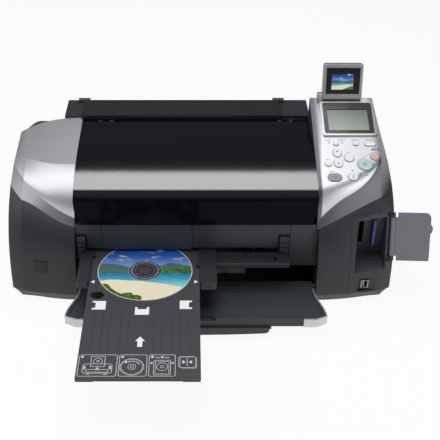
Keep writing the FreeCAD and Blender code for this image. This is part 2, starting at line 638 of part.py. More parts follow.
def chute_plate(down0, down1, forward0, forward1, x0, x1):
    return plate_x([chute(down0, forward0), chute(down1, forward0), chute(down1, forward1),
                    chute(down0, forward1)], x0, x1)


HOPPER_PIN = (6.0, 2.6)
HOPPER_LEFT, HOPPER_RIGHT = FEEDER_LEFT + 3.0, FEEDER_RIGHT - 3.0
HOPPER_FACE = 4.0
PICK_R, PICK_DOWN, PICK_AHEAD = 15.0, 80.0, 26.5


def sheet_feeder():
    back = chute_plate(0, CHUTE_LENGTH, 0, -WALL, FEEDER_LEFT, FEEDER_RIGHT)
    sides = [chute_plate(0, CHUTE_LENGTH, -WALL, 33, x, x + WALL)
             for x in (FEEDER_LEFT, FEEDER_RIGHT - WALL)]
    ledge = chute_plate(CHUTE_LENGTH, CHUTE_LENGTH + WALL, -WALL, 12, FEEDER_LEFT, FEEDER_RIGHT)
    pin, pick = chute(*HOPPER_PIN), chute(PICK_DOWN, PICK_AHEAD)
    holes = [rod_x(FEEDER_LEFT - 1, FEEDER_RIGHT + 1, *pin, 2.0 + RUN),
             rod_x(FEEDER_LEFT - 1, FEEDER_RIGHT + 1, *pick, SHAFT_R + RUN)]
    ceiling = box(FEEDER_LEFT - 1, FEEDER_RIGHT + 1, 0, 200, FLAP_LOW - SEAM - WALL - 0.3, 300)
    chassis = box(FEEDER_LEFT - 1, FEEDER_RIGHT + 1, 0, 30.5, 0, 300)
    gutter = box(FEEDER_LEFT - 1, FEEDER_RIGHT + 1, 0, FAIRING_BACK + 1.5, GUTTER_Z - WALL - 0.5, 300)
    return fuse([back, ledge] + sides).cut(holes + [ceiling, chassis, gutter])


def hopper_plate():
    plate = chute_plate(3, CHUTE_LENGTH - 3, 1.0, HOPPER_FACE, HOPPER_LEFT, HOPPER_RIGHT)
    pin = rod_x(FEEDER_LEFT + 0.4, FEEDER_RIGHT - 0.4, *chute(*HOPPER_PIN), 2.0)
    ceiling = box(FEEDER_LEFT - 1, FEEDER_RIGHT + 1, 0, 200, FLAP_LOW - SEAM - WALL - 0.4, 300)
    return plate.cut(ceiling).fuse(pin).removeSplitter()


GUIDE_LEFT = -126.0


def edge_guide():
    wall = chute_plate(14, 72, HOPPER_FACE + SEAM, 15, GUIDE_LEFT, GUIDE_LEFT + WALL)
    foot = chute_plate(14, 40, HOPPER_FACE + SEAM, 6, GUIDE_LEFT - 9, GUIDE_LEFT + WALL)
    grip = chute_plate(14, 22, 6, 12, GUIDE_LEFT - 9, GUIDE_LEFT - 6.5)
    return fuse([wall, foot, grip])


def pickup_roller():
    centre = chute(PICK_DOWN, PICK_AHEAD)
    shaft = rod_x(FEEDER_LEFT - 6, FEEDER_RIGHT + 6, *centre, SHAFT_R)
    tyre = rod_x(40, 78, *centre, PICK_R)
    flat = box(39, 79, centre[0] - PICK_R, centre[0] + PICK_R, centre[1] - PICK_R,
               centre[1] - PICK_R + 5)
    hub = rod_x(FEEDER_RIGHT + 0.6, FEEDER_RIGHT + 6, *centre, 11.0)
    return fuse([shaft, tyre.cut(flat), hub])


# ---------------------------------------------------------------- front
NOTCH_TOP = 94.0
LEFT_BLOCK, RIGHT_BLOCK = (-160.5, -149.5), (101.0, 112.5)
FASCIA_SPLITS = (-128.0, -12.0)
INNER_FASCIA = 114.0
FASCIA_T = 3.0


def front_fascia():
    top = LID_BOTTOM - 0.6
    y0, y1 = FASCIA_Y, FASCIA_Y + FASCIA_T
    left = box(BAY_LEFT + SEAM, FASCIA_SPLITS[0], y0, y1, FASCIA_BOTTOM - 1, top)
    middle = box(*FASCIA_SPLITS, y0, y1, FASCIA_BOTTOM - 2.5, top)
    right = box(FASCIA_SPLITS[1], INNER_FASCIA, y0, y1, FASCIA_BOTTOM, top)
    inner = box(INNER_FASCIA, BAY_RIGHT - SEAM, y0, y1, 46, top)
    shelf = box(BAY_LEFT + SEAM, BAY_RIGHT - SEAM, y0, y0 + 12, top - WALL, top)
    strip = fuse([left, middle, right, inner, shelf])
    grooves = [box(x - 0.5, x + 0.5, y0 - 1, y0 + 1.0, 40, top + 1)
               for x in FASCIA_SPLITS + (INNER_FASCIA,)]
    notches = [box(x0 - 1.5, x1 + (1.5 if x1 < 0 else 1.2), y0 - 1, y1 + 1, 60, NOTCH_TOP + 1.2)
               for x0, x1 in (LEFT_BLOCK, RIGHT_BLOCK)]
    panel_corner = box(LID_RIGHT, BAY_RIGHT, y0 - 1, y0 + 13, BODY_TOP - 78.5, top + 1)
    return strip.cut(grooves + notches + [panel_corner])


GUIDE_FRONT = -168.0
RAIL_TOP = PATH_Z + DISC_TRAY_T + 3.5
RAIL_LOW = PATH_Z - 3.2


def disc_guide():
    """Two rails that carry the disc tray, a cross plate and the blocks they hang from."""
    tray_left = DISC_TRAY_X - DISC_TRAY_W / 2
    tray_right = DISC_TRAY_X + DISC_TRAY_W / 2
    back = FASCIA_Y - 0.6
    left_rail = round_edges(box(-156, tray_left - SEAM, GUIDE_FRONT + 2, back, RAIL_LOW, RAIL_TOP),
                            3.0, lambda edge: along_axis(Z_AXIS)(edge)
                            and edge.CenterOfMass.y < GUIDE_FRONT + 3)
    right_rail = round_edges(box(tray_right + SEAM, 19, GUIDE_FRONT, back, RAIL_LOW, RAIL_TOP),
                             3.0, lambda edge: along_axis(Z_AXIS)(edge)
                             and edge.CenterOfMass.y < GUIDE_FRONT + 3)
    ledges = [box(tray_left - 2, tray_left + 3, GUIDE_FRONT + 10, back, RAIL_LOW, PATH_Z - SEAM),
              box(tray_right - 3, tray_right + 2, GUIDE_FRONT + 6, back, RAIL_LOW, PATH_Z - SEAM)]
    fingers = [box(tray_left - 2, tray_left + 4, y, y + 7, PATH_Z + DISC_TRAY_T + 0.5, RAIL_TOP)
               for y in (-112.0,)]
    fingers += [box(tray_right - 4, tray_right + 2, y, y + 7, PATH_Z + DISC_TRAY_T + 0.5, RAIL_TOP)
                for y in (-132.0,)]
    cross = box(18, RIGHT_BLOCK[1], -124, back, RAIL_LOW - 1, PATH_Z + 3)
    cross = round_edges(cross, 1.5, lambda edge: along_axis(X_AXIS)(edge)
                        and edge.CenterOfMass.y < -123)
    bridge = box(tray_left - 10, 19, back - 5, back, RAIL_LOW - 1, PATH_Z - SEAM - 0.4)
    blocks = []
    for x0, x1 in (LEFT_BLOCK, RIGHT_BLOCK):
        block = box(x0, x1, FASCIA_Y - 6, FASCIA_Y + 5, RAIL_LOW, NOTCH_TOP)
        blocks.append(round_edges(block, 2.5, lambda edge: along_axis(X_AXIS)(edge)
                                  and edge.CenterOfMass.z > NOTCH_TOP - 1))
    body = fuse([left_rail, right_rail, cross, bridge] + ledges + fingers + blocks)
    square = box(92.5, 97.5, -116, -108, PATH_Z - 10, PATH_Z + 9)
    dimple = rod_y(GUIDE_FRONT - 1, GUIDE_FRONT + 1, 9, RAIL_TOP - 5, 1.2)
    relief = [box(x0 - 0.1, x1 + 0.1, FASCIA_Y - 7, FASCIA_Y - 5, z, z + 2)
              for x0, x1 in (LEFT_BLOCK, RIGHT_BLOCK) for z in (79.0, 85.0)]
    return body.cut([square, dimple] + relief)


TRAY_POCKET_R = DISC_R + 0.6
FINGER_HOLE = (-136.0 + 8.0, -185.0)


def disc_tray():
    left, right = DISC_TRAY_X - DISC_TRAY_W / 2, DISC_TRAY_X + DISC_TRAY_W / 2
    back = DISC_TRAY_FRONT + DISC_TRAY_L
    top = PATH_Z + DISC_TRAY_T
    plate = rounded_box(left, right, DISC_TRAY_FRONT, back, PATH_Z, top, 2.0)
    pocket = rod_z(top - DISC_T, top + 1, DISC_TRAY_X, DISC_Y, TRAY_POCKET_R)
    hub = rod_z(top - DISC_T, top, DISC_TRAY_X, DISC_Y, DISC_BORE_R - 0.2)
    finger = rod_z(PATH_Z - 1, top + 1, *FINGER_HOLE, 8.5)
    grooves = []
    for offset in (5.0, 15.0, 24.0, 37.0, 46.0):
        for x in (DISC_TRAY_X - DISC_TRAY_W / 2 + 8 + offset, DISC_TRAY_X + DISC_TRAY_W / 2 - 8 - offset):
            grooves.append(box(x - 0.4, x + 0.4, DISC_TRAY_FRONT + 46, DISC_Y - DISC_R - 22,
                               top - 0.5, top + 1))
    lower = round_edges(box(left + 20, right - 20, DISC_TRAY_FRONT - 1, DISC_TRAY_FRONT + 0.8,
                            PATH_Z - 1, PATH_Z + 0.8), 0.3, along_axis(X_AXIS))
    return plate.cut([pocket, finger, lower] + grooves).fuse(hub).removeSplitter()


def disc():
    low = PATH_Z + DISC_TRAY_T - DISC_T + 0.1
    ring = rod_z(low, low + DISC_T, DISC_TRAY_X, DISC_Y, DISC_R)
    return ring.cut(rod_z(low - 1, low + 3, DISC_TRAY_X, DISC_Y, DISC_BORE_R))


TRAY_AXIS = V(0, -108.0, 21.5)
TRAY_PIN_R = 2.5


def tray_outline(inset):
    """Output tray from above: narrow neck between the casings, flared and cut corners."""
    left, right = OUT_TRAY_LEFT + inset, OUT_TRAY_RIGHT - inset
    neck_left, neck_right = BAY_LEFT + 3.0 + inset, BAY_RIGHT - 3.0 - inset
    back, front = OUT_TRAY_BACK - inset, OUT_TRAY_FRONT + inset
    flare = [V(neck_left, -124, 0), V(neck_left - 2.5, -143, 0), V(left + 1.6, -166, 0),
             V(left, OUT_TRAY_FRONT + 7, 0)]
    mirror = [V(neck_right, -124, 0), V(neck_right + 2, -143, 0), V(right - 1.6, -166, 0),
              V(right, OUT_TRAY_FRONT + 7, 0)]
    tip_left, tip_right = V(left + 13.7, front, 0), V(right - 13.7, front, 0)
    back_left, back_right = V(neck_left, back, 0), V(neck_right, back, 0)
    return Part.Wire([Part.makeLine(back_left, flare[0]), curve(flare),
                      Part.makeLine(flare[-1], tip_left), Part.makeLine(tip_left, tip_right),
                      Part.makeLine(tip_right, mirror[-1]), curve(list(reversed(mirror))),
                      Part.makeLine(mirror[0], back_right), Part.makeLine(back_right, back_left)])


def tray_slab(inset, low, high):
    face = Part.Face(tray_outline(inset))
    face.translate(V(0, 0, low))
    return face.extrude(V(0, 0, high - low))


TRIM_T = 1.8
PULL_LEFT, PULL_RIGHT = -98.0, 85.0      # the extension's pull under the tray's front


def output_tray():
    low, top = OUT_TRAY_TOP - OUT_TRAY_T, OUT_TRAY_TOP
    slab = tray_slab(TRIM_T, low, top)
    under = tray_slab(TRIM_T + WALL, low - 1, top - WALL)
    dish = tray_slab(TRIM_T + 3.0, top - 1.0, top + 1)
    notch = plate_z([(-33, OUT_TRAY_FRONT - 1), (19, OUT_TRAY_FRONT - 1), (13, OUT_TRAY_FRONT + 9),
                     (-27, OUT_TRAY_FRONT + 9)], top - 3.2, top + 1)
    notch_back = plate_z([(-36, OUT_TRAY_FRONT), (22, OUT_TRAY_FRONT), (16, OUT_TRAY_FRONT + 12),
                          (-30, OUT_TRAY_FRONT + 12)], top - 5.6, top - 2)
    ribs = [box(x - 0.8, x + 0.8, OUT_TRAY_FRONT + 3, OUT_TRAY_BACK - 3, low, top - 1)
            for x in (-130.0, 118.0)]
    body = slab.cut([under, dish]).fuse(notch_back.common(slab)).fuse(ribs).cut(notch)
    rails = []
    for x, side in ((PULL_LEFT - SEAM, -1), (PULL_RIGHT + SEAM, 1)):
        wall = box(min(x, x + side * 2.5), max(x, x + side * 2.5), OUT_TRAY_FRONT + 3,
                   OUT_TRAY_BACK - 12, low - 5.6, top - 1)
        hook = box(min(x - side * 2.2, x), max(x - side * 2.2, x), OUT_TRAY_FRONT + 3,
                   OUT_TRAY_BACK - 12, low - 5.6, low - 3.6)
        rails += [wall, hook]
    pins = [rod_x(BAY_LEFT - 2, BAY_LEFT + 6, TRAY_AXIS.y, TRAY_AXIS.z, TRAY_PIN_R),
            rod_x(BAY_RIGHT - 6, BAY_RIGHT + 2, TRAY_AXIS.y, TRAY_AXIS.z, TRAY_PIN_R)]
    return body.fuse(rails + pins).removeSplitter()


def tray_trim():
    """Silver rim: a thin band round the sides and the two cut front corners."""
    low, top = OUT_TRAY_TOP - OUT_TRAY_T, OUT_TRAY_TOP
    band = tray_slab(0, low, top + 0.3).cut(tray_slab(TRIM_T, low - 1, top + 1))
    keep = [box(-300, OUT_TRAY_LEFT + 30, OUT_TRAY_FRONT - 5, -123, low - 1, top + 1),
            box(OUT_TRAY_RIGHT - 30, 300, OUT_TRAY_FRONT - 5, -123, low - 1, top + 1)]
    return band.common(Part.makeCompound(keep))


def tray_extension():
    low = OUT_TRAY_TOP - OUT_TRAY_T
    plate = box(PULL_LEFT, PULL_RIGHT, OUT_TRAY_FRONT + 2, OUT_TRAY_BACK - 8, low - 3.3, low - SEAM)
    middle = (PULL_LEFT + PULL_RIGHT) / 2
    y = OUT_TRAY_FRONT - 1.5
    foot = low - 11.5
    arch = Part.Arc(V(PULL_RIGHT - 6, y, foot + 2.5), V(middle, y, foot), V(PULL_LEFT + 6, y, foot + 2.5))
    left = Part.Arc(V(PULL_LEFT + 6, y, foot + 2.5), V(PULL_LEFT + 1.8, y, foot + 4.3),
                    V(PULL_LEFT, y, foot + 8.5))
    right = Part.Arc(V(PULL_RIGHT, y, foot + 8.5), V(PULL_RIGHT - 1.8, y, foot + 4.3),
                     V(PULL_RIGHT - 6, y, foot + 2.5))
    top = low - SEAM
    edges = [arch.toShape(), left.toShape(),
             Part.makeLine(V(PULL_LEFT, y, foot + 8.5), V(PULL_LEFT, y, top)),
             Part.makeLine(V(PULL_LEFT, y, top), V(PULL_RIGHT, y, top)),
             Part.makeLine(V(PULL_RIGHT, y, top), V(PULL_RIGHT, y, foot + 8.5)), right.toShape()]
    pull = Part.Face(Part.Wire(edges)).extrude(V(0, 3.6, 0))
    return plate.fuse(pull).removeSplitter()


# ---------------------------------------------------------------- card bay and door
SLOT_1 = (BODY_HALF - 42.5, BODY_HALF - 36.0)
SLOT_2 = (BODY_HALF - 26.6, BODY_HALF - 22.6)
BAY = (BODY_HALF - 51.5, BODY_HALF - 10.0, 46.0, 113.0)   # recess: left, right, foot, top
CARD_T, CARD_H, CARD_D = 3.3, 42.8, 36.4
CARD_LOW = 66.0
CARD_OUT = 13.0            # how far the card stands out of its slot
BAY_FLOOR_Y = -70.0        # the slotted wall behind the door
USB_RECESS = (BODY_HALF - 44.5, BODY_HALF - 22.0, 16.8, 37.0)
USB_FRONT = (BODY_HALF - 40.5, BODY_HALF - 30.2, 21.5, 33.5)
USB_B_X = 118.0
INLET_X, INLET_Z, INLET_W, INLET_H = -222.0, 44.0, 26.0, 20.0


def by_door(shape, turned=0.0):
    """Places a shape drawn on the door's own axes, turned from its open position."""
    placed = shape.copy()
    placed.rotate(V(0, 0, 0), Z_AXIS, -5.0 + turned)
    placed.rotate(V(0, 0, 0), X_AXIS, -DOOR_LEAN)
    placed.translate(DOOR_HINGE)
    return placed


DOOR_BARREL_R, DOOR_PIN_R = 2.6, 1.4


def card_door():
    half = DOOR_T / 2
    plate = box(3.5, DOOR_W, -half, half, 0, DOOR_H)
    plate = plate.cut([box(0, 6.4, -half - 1, half + 1, low, low + 6.3)
                       for low in (0, DOOR_H - 6.3)])
    plate = round_edges(plate, 7.0, lambda edge: along_axis(Y_AXIS)(edge)
                        and edge.CenterOfMass.x > DOOR_W - 1 and edge.CenterOfMass.z > 10)
    plate = round_edges(plate, 2.0, lambda edge: along_axis(Y_AXIS)(edge)
                        and edge.CenterOfMass.x > DOOR_W - 1 and edge.CenterOfMass.z < 10)
    grip = Part.makeCylinder(9.0, DOOR_T, V(DOOR_W - 6.2, -half, DOOR_H - 21), Y_AXIS)
    bead = box(8, DOOR_W - 6, half - 0.1, half + 0.9, 6, 8)
    barrel = rod_z(6, DOOR_H - 6, 0, 0, DOOR_BARREL_R)
    arm = box(0, 4, -1.2, 1.2, 6, DOOR_H - 6)
    pin = rod_z(1.5, DOOR_H - 1.5, 0, 0, DOOR_PIN_R)
    return by_door(fuse([plate, grip, bead, barrel, arm, pin]))


def card_bay():
    skin = across(casing_runs, 1, BAY_RIGHT)
    region = insert_region()
    block = skin.common(region)
    gap_left = box(INSERT_LEFT - 1, INSERT_LEFT + SEAM, -200, 0, 0, 200)
    lowered = [(FRONT - 40, INSERT_TOP - 17 - SEAM), (FRONT - 30, INSERT_TOP - 16 - SEAM),
               (-70, INSERT_TOP - SEAM), (INSERT_BACK + 1, INSERT_TOP + 4), (INSERT_BACK + 1, 200),
               (FRONT - 40, 200)]
    gap_top = plate_x(lowered, INSERT_LEFT - 1, BODY_HALF + 5)
    gap_back = box(INSERT_LEFT - 1, BODY_HALF + 5, INSERT_BACK - SEAM, INSERT_BACK + 5, 0, 200)
    pocket = by_door(box(-5, DOOR_W + 1.5, -DOOR_T / 2 - 0.6, 40, -0.6, DOOR_H + 0.6), -DOOR_OPEN)
    grip_room = by_door(Part.makeCylinder(10.0, 40, V(DOOR_W - 6.2, -DOOR_T / 2 - 0.6, DOOR_H - 21),
                                          Y_AXIS), -DOOR_OPEN)
    swing = by_door(box(-4.6, 30, -30, 4.2, -0.6, DOOR_H + 0.6))
    recess = box(BAY[0], BAY[1], FRONT - 30, BAY_FLOOR_Y, BAY[2], BAY[3])
    slots = [box(*slot, BAY_FLOOR_Y - 1, BAY_FLOOR_Y + 26, CARD_LOW - 1.0, CARD_LOW + CARD_H + 1.0)
             for slot in (SLOT_1, SLOT_2)]
    usb = box(USB_RECESS[0], USB_RECESS[1], FRONT - 30, FRONT - 7.0, USB_RECESS[2], USB_RECESS[3])
    port = box(USB_FRONT[0] - SEAM, USB_FRONT[1] + SEAM, FRONT - 10, FRONT + 8,
               USB_FRONT[2] - SEAM, USB_FRONT[3] + SEAM)
    body = block.cut([gap_left, gap_top, gap_back, pocket, grip_room, swing, recess, usb, port]
                     + slots)
    lugs = []
    for low, high in ((0.3, 5.7), (DOOR_H - 5.7, DOOR_H - 0.3)):
        lug = rod_z(low, high, 0, 0, DOOR_BARREL_R + 0.6)
        root = box(-5.0, 0, -1.0, 5.0, low, high)
        lugs += [by_door(lug), by_door(root)]
    hole = by_door(rod_z(-1, DOOR_H + 1, 0, 0, DOOR_PIN_R + RUN))
    return body.fuse(lugs).removeSplitter().cut(hole)


def memory_card():
    x0 = (SLOT_2[0] + SLOT_2[1]) / 2 - CARD_T / 2
    y0 = BAY_FLOOR_Y - CARD_OUT
    return rounded_box(x0, x0 + CARD_T, y0, y0 + CARD_D, CARD_LOW, CARD_LOW + CARD_H, 0.6, X_AXIS)


def usb_ports():
    x0, x1, z0, z1 = USB_FRONT
    front = box(x0, x1, FRONT - 9.0, FRONT + 6, z0, z1)
    front = front.cut(box(x0 + 1.8, x1 - 1.8, FRONT - 10, FRONT + 3, z0 + 0.9, z1 - 0.9))
    tongue = box(x0 + 3.0, x0 + 4.9, FRONT - 8, FRONT + 6, z0 + 1.8, z1 - 1.8)
    rear = box(USB_B_X - 6, USB_B_X + 6, BODY_BACK - 14, BODY_BACK - 0.5, 35.0, 47.0)
    rear = rear.cut(box(USB_B_X - 4.5, USB_B_X + 4.5, BODY_BACK - 9, BODY_BACK, 37.0, 45.0))
    core = box(USB_B_X - 2.7, USB_B_X + 2.7, BODY_BACK - 10, BODY_BACK - 2, 39.4, 42.6)
    return Part.makeCompound([front.fuse(tongue), rear.fuse(core)])


def power_inlet():
    x0, x1 = INLET_X - INLET_W / 2, INLET_X + INLET_W / 2
    z0, z1 = INLET_Z - INLET_H / 2, INLET_Z + INLET_H / 2
    shell = box(x0, x1, BODY_BACK - 20, BODY_BACK, z0, z1)
    lobes = [rod_y(BODY_BACK - 15, BODY_BACK + 1, INLET_X + dx, INLET_Z, 4.2) for dx in (-4.3, 4.3)]
    waist = box(INLET_X - 4.3, INLET_X + 4.3, BODY_BACK - 15, BODY_BACK + 1, INLET_Z - 4.2,
                INLET_Z + 4.2)
    pins = [rod_y(BODY_BACK - 16, BODY_BACK - 4, INLET_X + dx, INLET_Z, 1.2) for dx in (-4.3, 4.3)]
    return shell.cut(lobes + [waist]).fuse(pins)


# ---------------------------------------------------------------- chassis and drives
PATH_LOW = PATH_Z - PATH_GAP
CHASSIS_Y = 28.0
CHASSIS_TOP = 150.0
FLOOR = 3.0
MOTOR_X, MOTOR_R = 156.0, 16.0
IDLE_X = -170.0


def roller_z(radius):
    return PATH_LOW - radius


def engine_frame():
    left = plate_x([(-76, FLOOR + SEAM), (58, FLOOR + SEAM), (58, 118), (40, CHASSIS_TOP),
                    (-48, CHASSIS_TOP), (-76, 104)], FRAME_LEFT - SHEET, FRAME_LEFT)
    right = plate_x([(-76, FLOOR + SEAM), (58, FLOOR + SEAM), (58, 118), (40, CHASSIS_TOP),
                     (-48, CHASSIS_TOP), (-76, 104)], FRAME_RIGHT, FRAME_RIGHT + SHEET)
    back = box(FRAME_LEFT - 0.5, FRAME_RIGHT + 0.5, CHASSIS_Y, CHASSIS_Y + SHEET, PATH_Z + 9,
               CHASSIS_TOP)
    windows = [rounded_box(x, x + 34, CHASSIS_Y - 1, CHASSIS_Y + 3, 86, 106, 4, Y_AXIS)
               for x in (-130.0, -80.0, -30.0)]
    tie = box(-140, FRAME_RIGHT + 0.5, CHASSIS_Y, CHASSIS_Y + SHEET, 20, 50)
    flange = box(FRAME_LEFT - 0.5, FRAME_RIGHT + 0.5, CHASSIS_Y, CHASSIS_Y + 9, 74.2, 74.2 + SHEET)
    pin = rod_y(BELT_Y - 5.5, CHASSIS_Y + 1, IDLE_X, BELT_Z, 2.5)
    feed_z, eject_z = roller_z(FEED_R), roller_z(EJECT_R)
    stub = rod_x(FRAME_LEFT - 10.5, FRAME_LEFT - 1, *idler_centre(), 3.0)
    holes = [rod_x(FRAME_LEFT - 3, FRAME_RIGHT + 3, FEED_Y, feed_z, SHAFT_R + RUN),
             rod_x(FRAME_LEFT - 3, FRAME_RIGHT + 3, EJECT_Y, eject_z, SHAFT_R + RUN),
             rod_y(CHASSIS_Y - 1, CHASSIS_Y + 3, MOTOR_X, BELT_Z, 5.0),
             rod_x(FRAME_LEFT - 3, FRAME_LEFT + 1, *pinion_centre(), 5.0)]
    return fuse([left, right, back.cut(windows), tie, flange, pin, stub]).cut(holes)


def idler_centre():
    return (FEED_Y + EJECT_Y) / 2, roller_z(FEED_R)


def pinion_centre():
    reach = GEAR_MODULE * (FEED_TEETH + PINION_TEETH) / 2 + 0.25
    return FEED_Y + reach * math.sqrt(0.5), roller_z(FEED_R) - reach * math.sqrt(0.5)


def gear(teeth, bore, phase, low, high):
    """Spur gear along X round the origin: straight-flanked teeth, phase in degrees."""
    pitch_r = GEAR_MODULE * teeth / 2
    tip, root = pitch_r + 0.85 * GEAR_MODULE, pitch_r - 1.15 * GEAR_MODULE
    step = 2 * math.pi / teeth
    corners = []
    for i in range(teeth):
        middle = math.radians(phase) + i * step
        for share, radius in ((-0.33, root), (-0.11, tip), (0.11, tip), (0.33, root)):
            angle = middle + share * step
            corners.append(V(low, radius * math.cos(angle), radius * math.sin(angle)))
    body = polygon(corners).extrude(V(high - low, 0, 0))
    return body.cut(rod_x(low - 1, high + 1, 0, 0, bore)) if bore else body


GEAR_HIGH = FRAME_LEFT - SHEET - 1.2
GEAR_LOW = GEAR_HIGH - GEAR_W


def toothed_roller(y, radius, x_ranges, phase):
    z = roller_z(radius)
    shaft = rod_x(GEAR_LOW - 2, FRAME_RIGHT + SHEET + 3, y, z, SHAFT_R)
    sleeves = [rod_x(x0, x1, y, z, radius) for x0, x1 in x_ranges]
    wheel = gear(FEED_TEETH, 0, phase, GEAR_LOW, GEAR_HIGH)
    wheel.translate(V(0, y, z))
    return fuse([shaft, wheel] + sleeves)


def feed_roller():
    return toothed_roller(FEED_Y, FEED_R, [(-150, 118)], 0.0)


def eject_roller():
    return toothed_roller(EJECT_Y, EJECT_R, [(x, x + 8) for x in range(-146, 118, 26)], 0.0)


def feed_idler():
    wheel = gear(IDLER_TEETH, 3.0 + RUN, 180.0 / IDLER_TEETH, GEAR_LOW, GEAR_HIGH)
    wheel.translate(V(0, *idler_centre()))
    return wheel


def feed_pinion():
    # at 45 degrees below the feed gear: its tooth faces a gap of the larger wheel
    towards = -45.0
    gap_phase = (towards / (360.0 / FEED_TEETH)) % 1.0
    phase = towards + 180.0 + (180.0 / PINION_TEETH) + gap_phase * 360.0 / PINION_TEETH
    wheel = gear(PINION_TEETH, 2.0 + RUN, phase, GEAR_LOW, GEAR_HIGH)
    wheel.translate(V(0, *pinion_centre()))
    return wheel


def feed_motor():
    y, z = pinion_centre()
    can = rod_x(FRAME_LEFT + 0.4, FRAME_LEFT + 30, y, z, MOTOR_R)
    nose = rod_x(FRAME_LEFT - SHEET, FRAME_LEFT + 1, y, z, 4.7)
    shaft = rod_x(GEAR_LOW - 1.5, FRAME_LEFT, y, z, 2.0)
    foot = box(FRAME_LEFT + 4, FRAME_LEFT + 24, y - 12, y + 12, FLOOR + SEAM, z)
    return fuse([can, nose, shaft, foot])


def carriage_motor():
    can = rod_y(CHASSIS_Y + SHEET + 0.3, CHASSIS_Y + 30, MOTOR_X, BELT_Z, MOTOR_R)
    nose = rod_y(CHASSIS_Y, CHASSIS_Y + 3, MOTOR_X, BELT_Z, 4.7)
    shaft = rod_y(BELT_Y - 5, CHASSIS_Y + 2, MOTOR_X, BELT_Z, 2.5)
    return fuse([can, nose, shaft])


def pulley(x):
    half = BELT_W / 2 + 0.2
    drum = rod_y(BELT_Y - half, BELT_Y + half, x, BELT_Z, PULLEY_R - 0.25)
    rims = [rod_y(BELT_Y - half - 0.9, BELT_Y - half, x, BELT_Z, PULLEY_R + 1.8),
            rod_y(BELT_Y + half, BELT_Y + half + 0.9, x, BELT_Z, PULLEY_R + 1.8)]
    flats = [rod_y(BELT_Y - 9, BELT_Y + 9, x + 5.2 * math.cos(a), BELT_Z + 5.2 * math.sin(a), 1.2)
             for a in (0.0, 2.1, 4.2)]
    bore = rod_y(BELT_Y - 9, BELT_Y + 9, x, BELT_Z, 2.5 + RUN)
    return fuse([drum] + rims).cut([bore] + flats)


def timing_belt():
    def loop(radius):
        ends = [rod_y(BELT_Y - BELT_W / 2, BELT_Y + BELT_W / 2, x, BELT_Z, radius)
                for x in (IDLE_X, MOTOR_X)]
        run = box(IDLE_X, MOTOR_X, BELT_Y - BELT_W / 2, BELT_Y + BELT_W / 2, BELT_Z - radius,
                  BELT_Z + radius)
        return fuse(ends + [run])
    return loop(PULLEY_R + BELT_T).cut(loop(PULLEY_R))


def carriage_shaft():
    return rod_x(FRAME_LEFT + 0.3, FRAME_RIGHT - 0.3, GUIDE_ROD_Y, GUIDE_ROD_Z, GUIDE_ROD_R)


CARTRIDGES = 6
TUB_LOW, TUB_TOP, HEAD_LOW = 82.0, 128.0, 71.6
TUB_FRONT, TUB_BACK = -58.0, -8.0


def cartridge_span(i):
    pitch = (CARRIAGE_W - 5.0) / CARTRIDGES
    x0 = CARRIAGE_LEFT + 2.5 + i * pitch
    return x0 + 0.8, x0 + pitch - 0.8


def carriage():
    left, right = CARRIAGE_LEFT, CARRIAGE_LEFT + CARRIAGE_W
    tub = rounded_box(left, right, TUB_FRONT, TUB_BACK, TUB_LOW, TUB_TOP, 3.0)
    cells = []
    for i in range(CARTRIDGES):
        x0, x1 = cartridge_span(i)
        cells.append(box(x0 - 0.3, x1 + 0.3, TUB_FRONT + 2.5, TUB_BACK - 2.5, TUB_LOW + 4, 200))
    head = box(left + 18, right - 18, -46, -12, HEAD_LOW, TUB_LOW + 1)
    block = box(left, right, TUB_BACK - 1, 14, 90, 112)
    bore = rod_x(left - 1, right + 1, GUIDE_ROD_Y, GUIDE_ROD_Z, GUIDE_ROD_R + RUN)
    relief = rod_x(left + 14, right - 14, GUIDE_ROD_Y, GUIDE_ROD_Z, GUIDE_ROD_R + 2)
    lower_run = BELT_Z - PULLEY_R
    clip_x0, clip_x1 = left + 42, left + 54
    jaws = [box(clip_x0, clip_x1, 12, BELT_Y + 2.5, lower_run + 0.3, lower_run + 2.6),
            box(clip_x0, clip_x1, 12, BELT_Y + 2.5, lower_run - BELT_T - 2.6,
                lower_run - BELT_T - 0.3),
            box(clip_x0, clip_x1, 12, BELT_Y - BELT_W / 2 - 0.3, 108, lower_run + 2.6)]
    arm = [box(left + 30, left + 60, 11.5, 14, 108, CHASSIS_TOP + 3),
           box(left + 30, left + 60, 11.5, CHASSIS_Y + 5.5, CHASSIS_TOP + 0.4, CHASSIS_TOP + 3),
           box(left + 30, left + 60, CHASSIS_Y + SHEET + 0.4, CHASSIS_Y + 5.5, CHASSIS_TOP - 5,
               CHASSIS_TOP + 3)]
    return fuse([tub.cut(cells), head, block] + jaws + arm).cut([bore, relief])


def ink_cartridges():
    packs = []
    for i in range(CARTRIDGES):
        x0, x1 = cartridge_span(i)
        pack = box(x0, x1, TUB_FRONT + 2.8, TUB_BACK - 2.8, TUB_LOW + 4.2, CHASSIS_TOP - 6)
        packs.append(round_edges(pack, 5.0, lambda edge: along_axis(X_AXIS)(edge)
                                 and edge.CenterOfMass.z > TUB_TOP
                                 and edge.CenterOfMass.y < TUB_FRONT + 5))
    return Part.makeCompound(packs)


WEB_BACK = 100.0


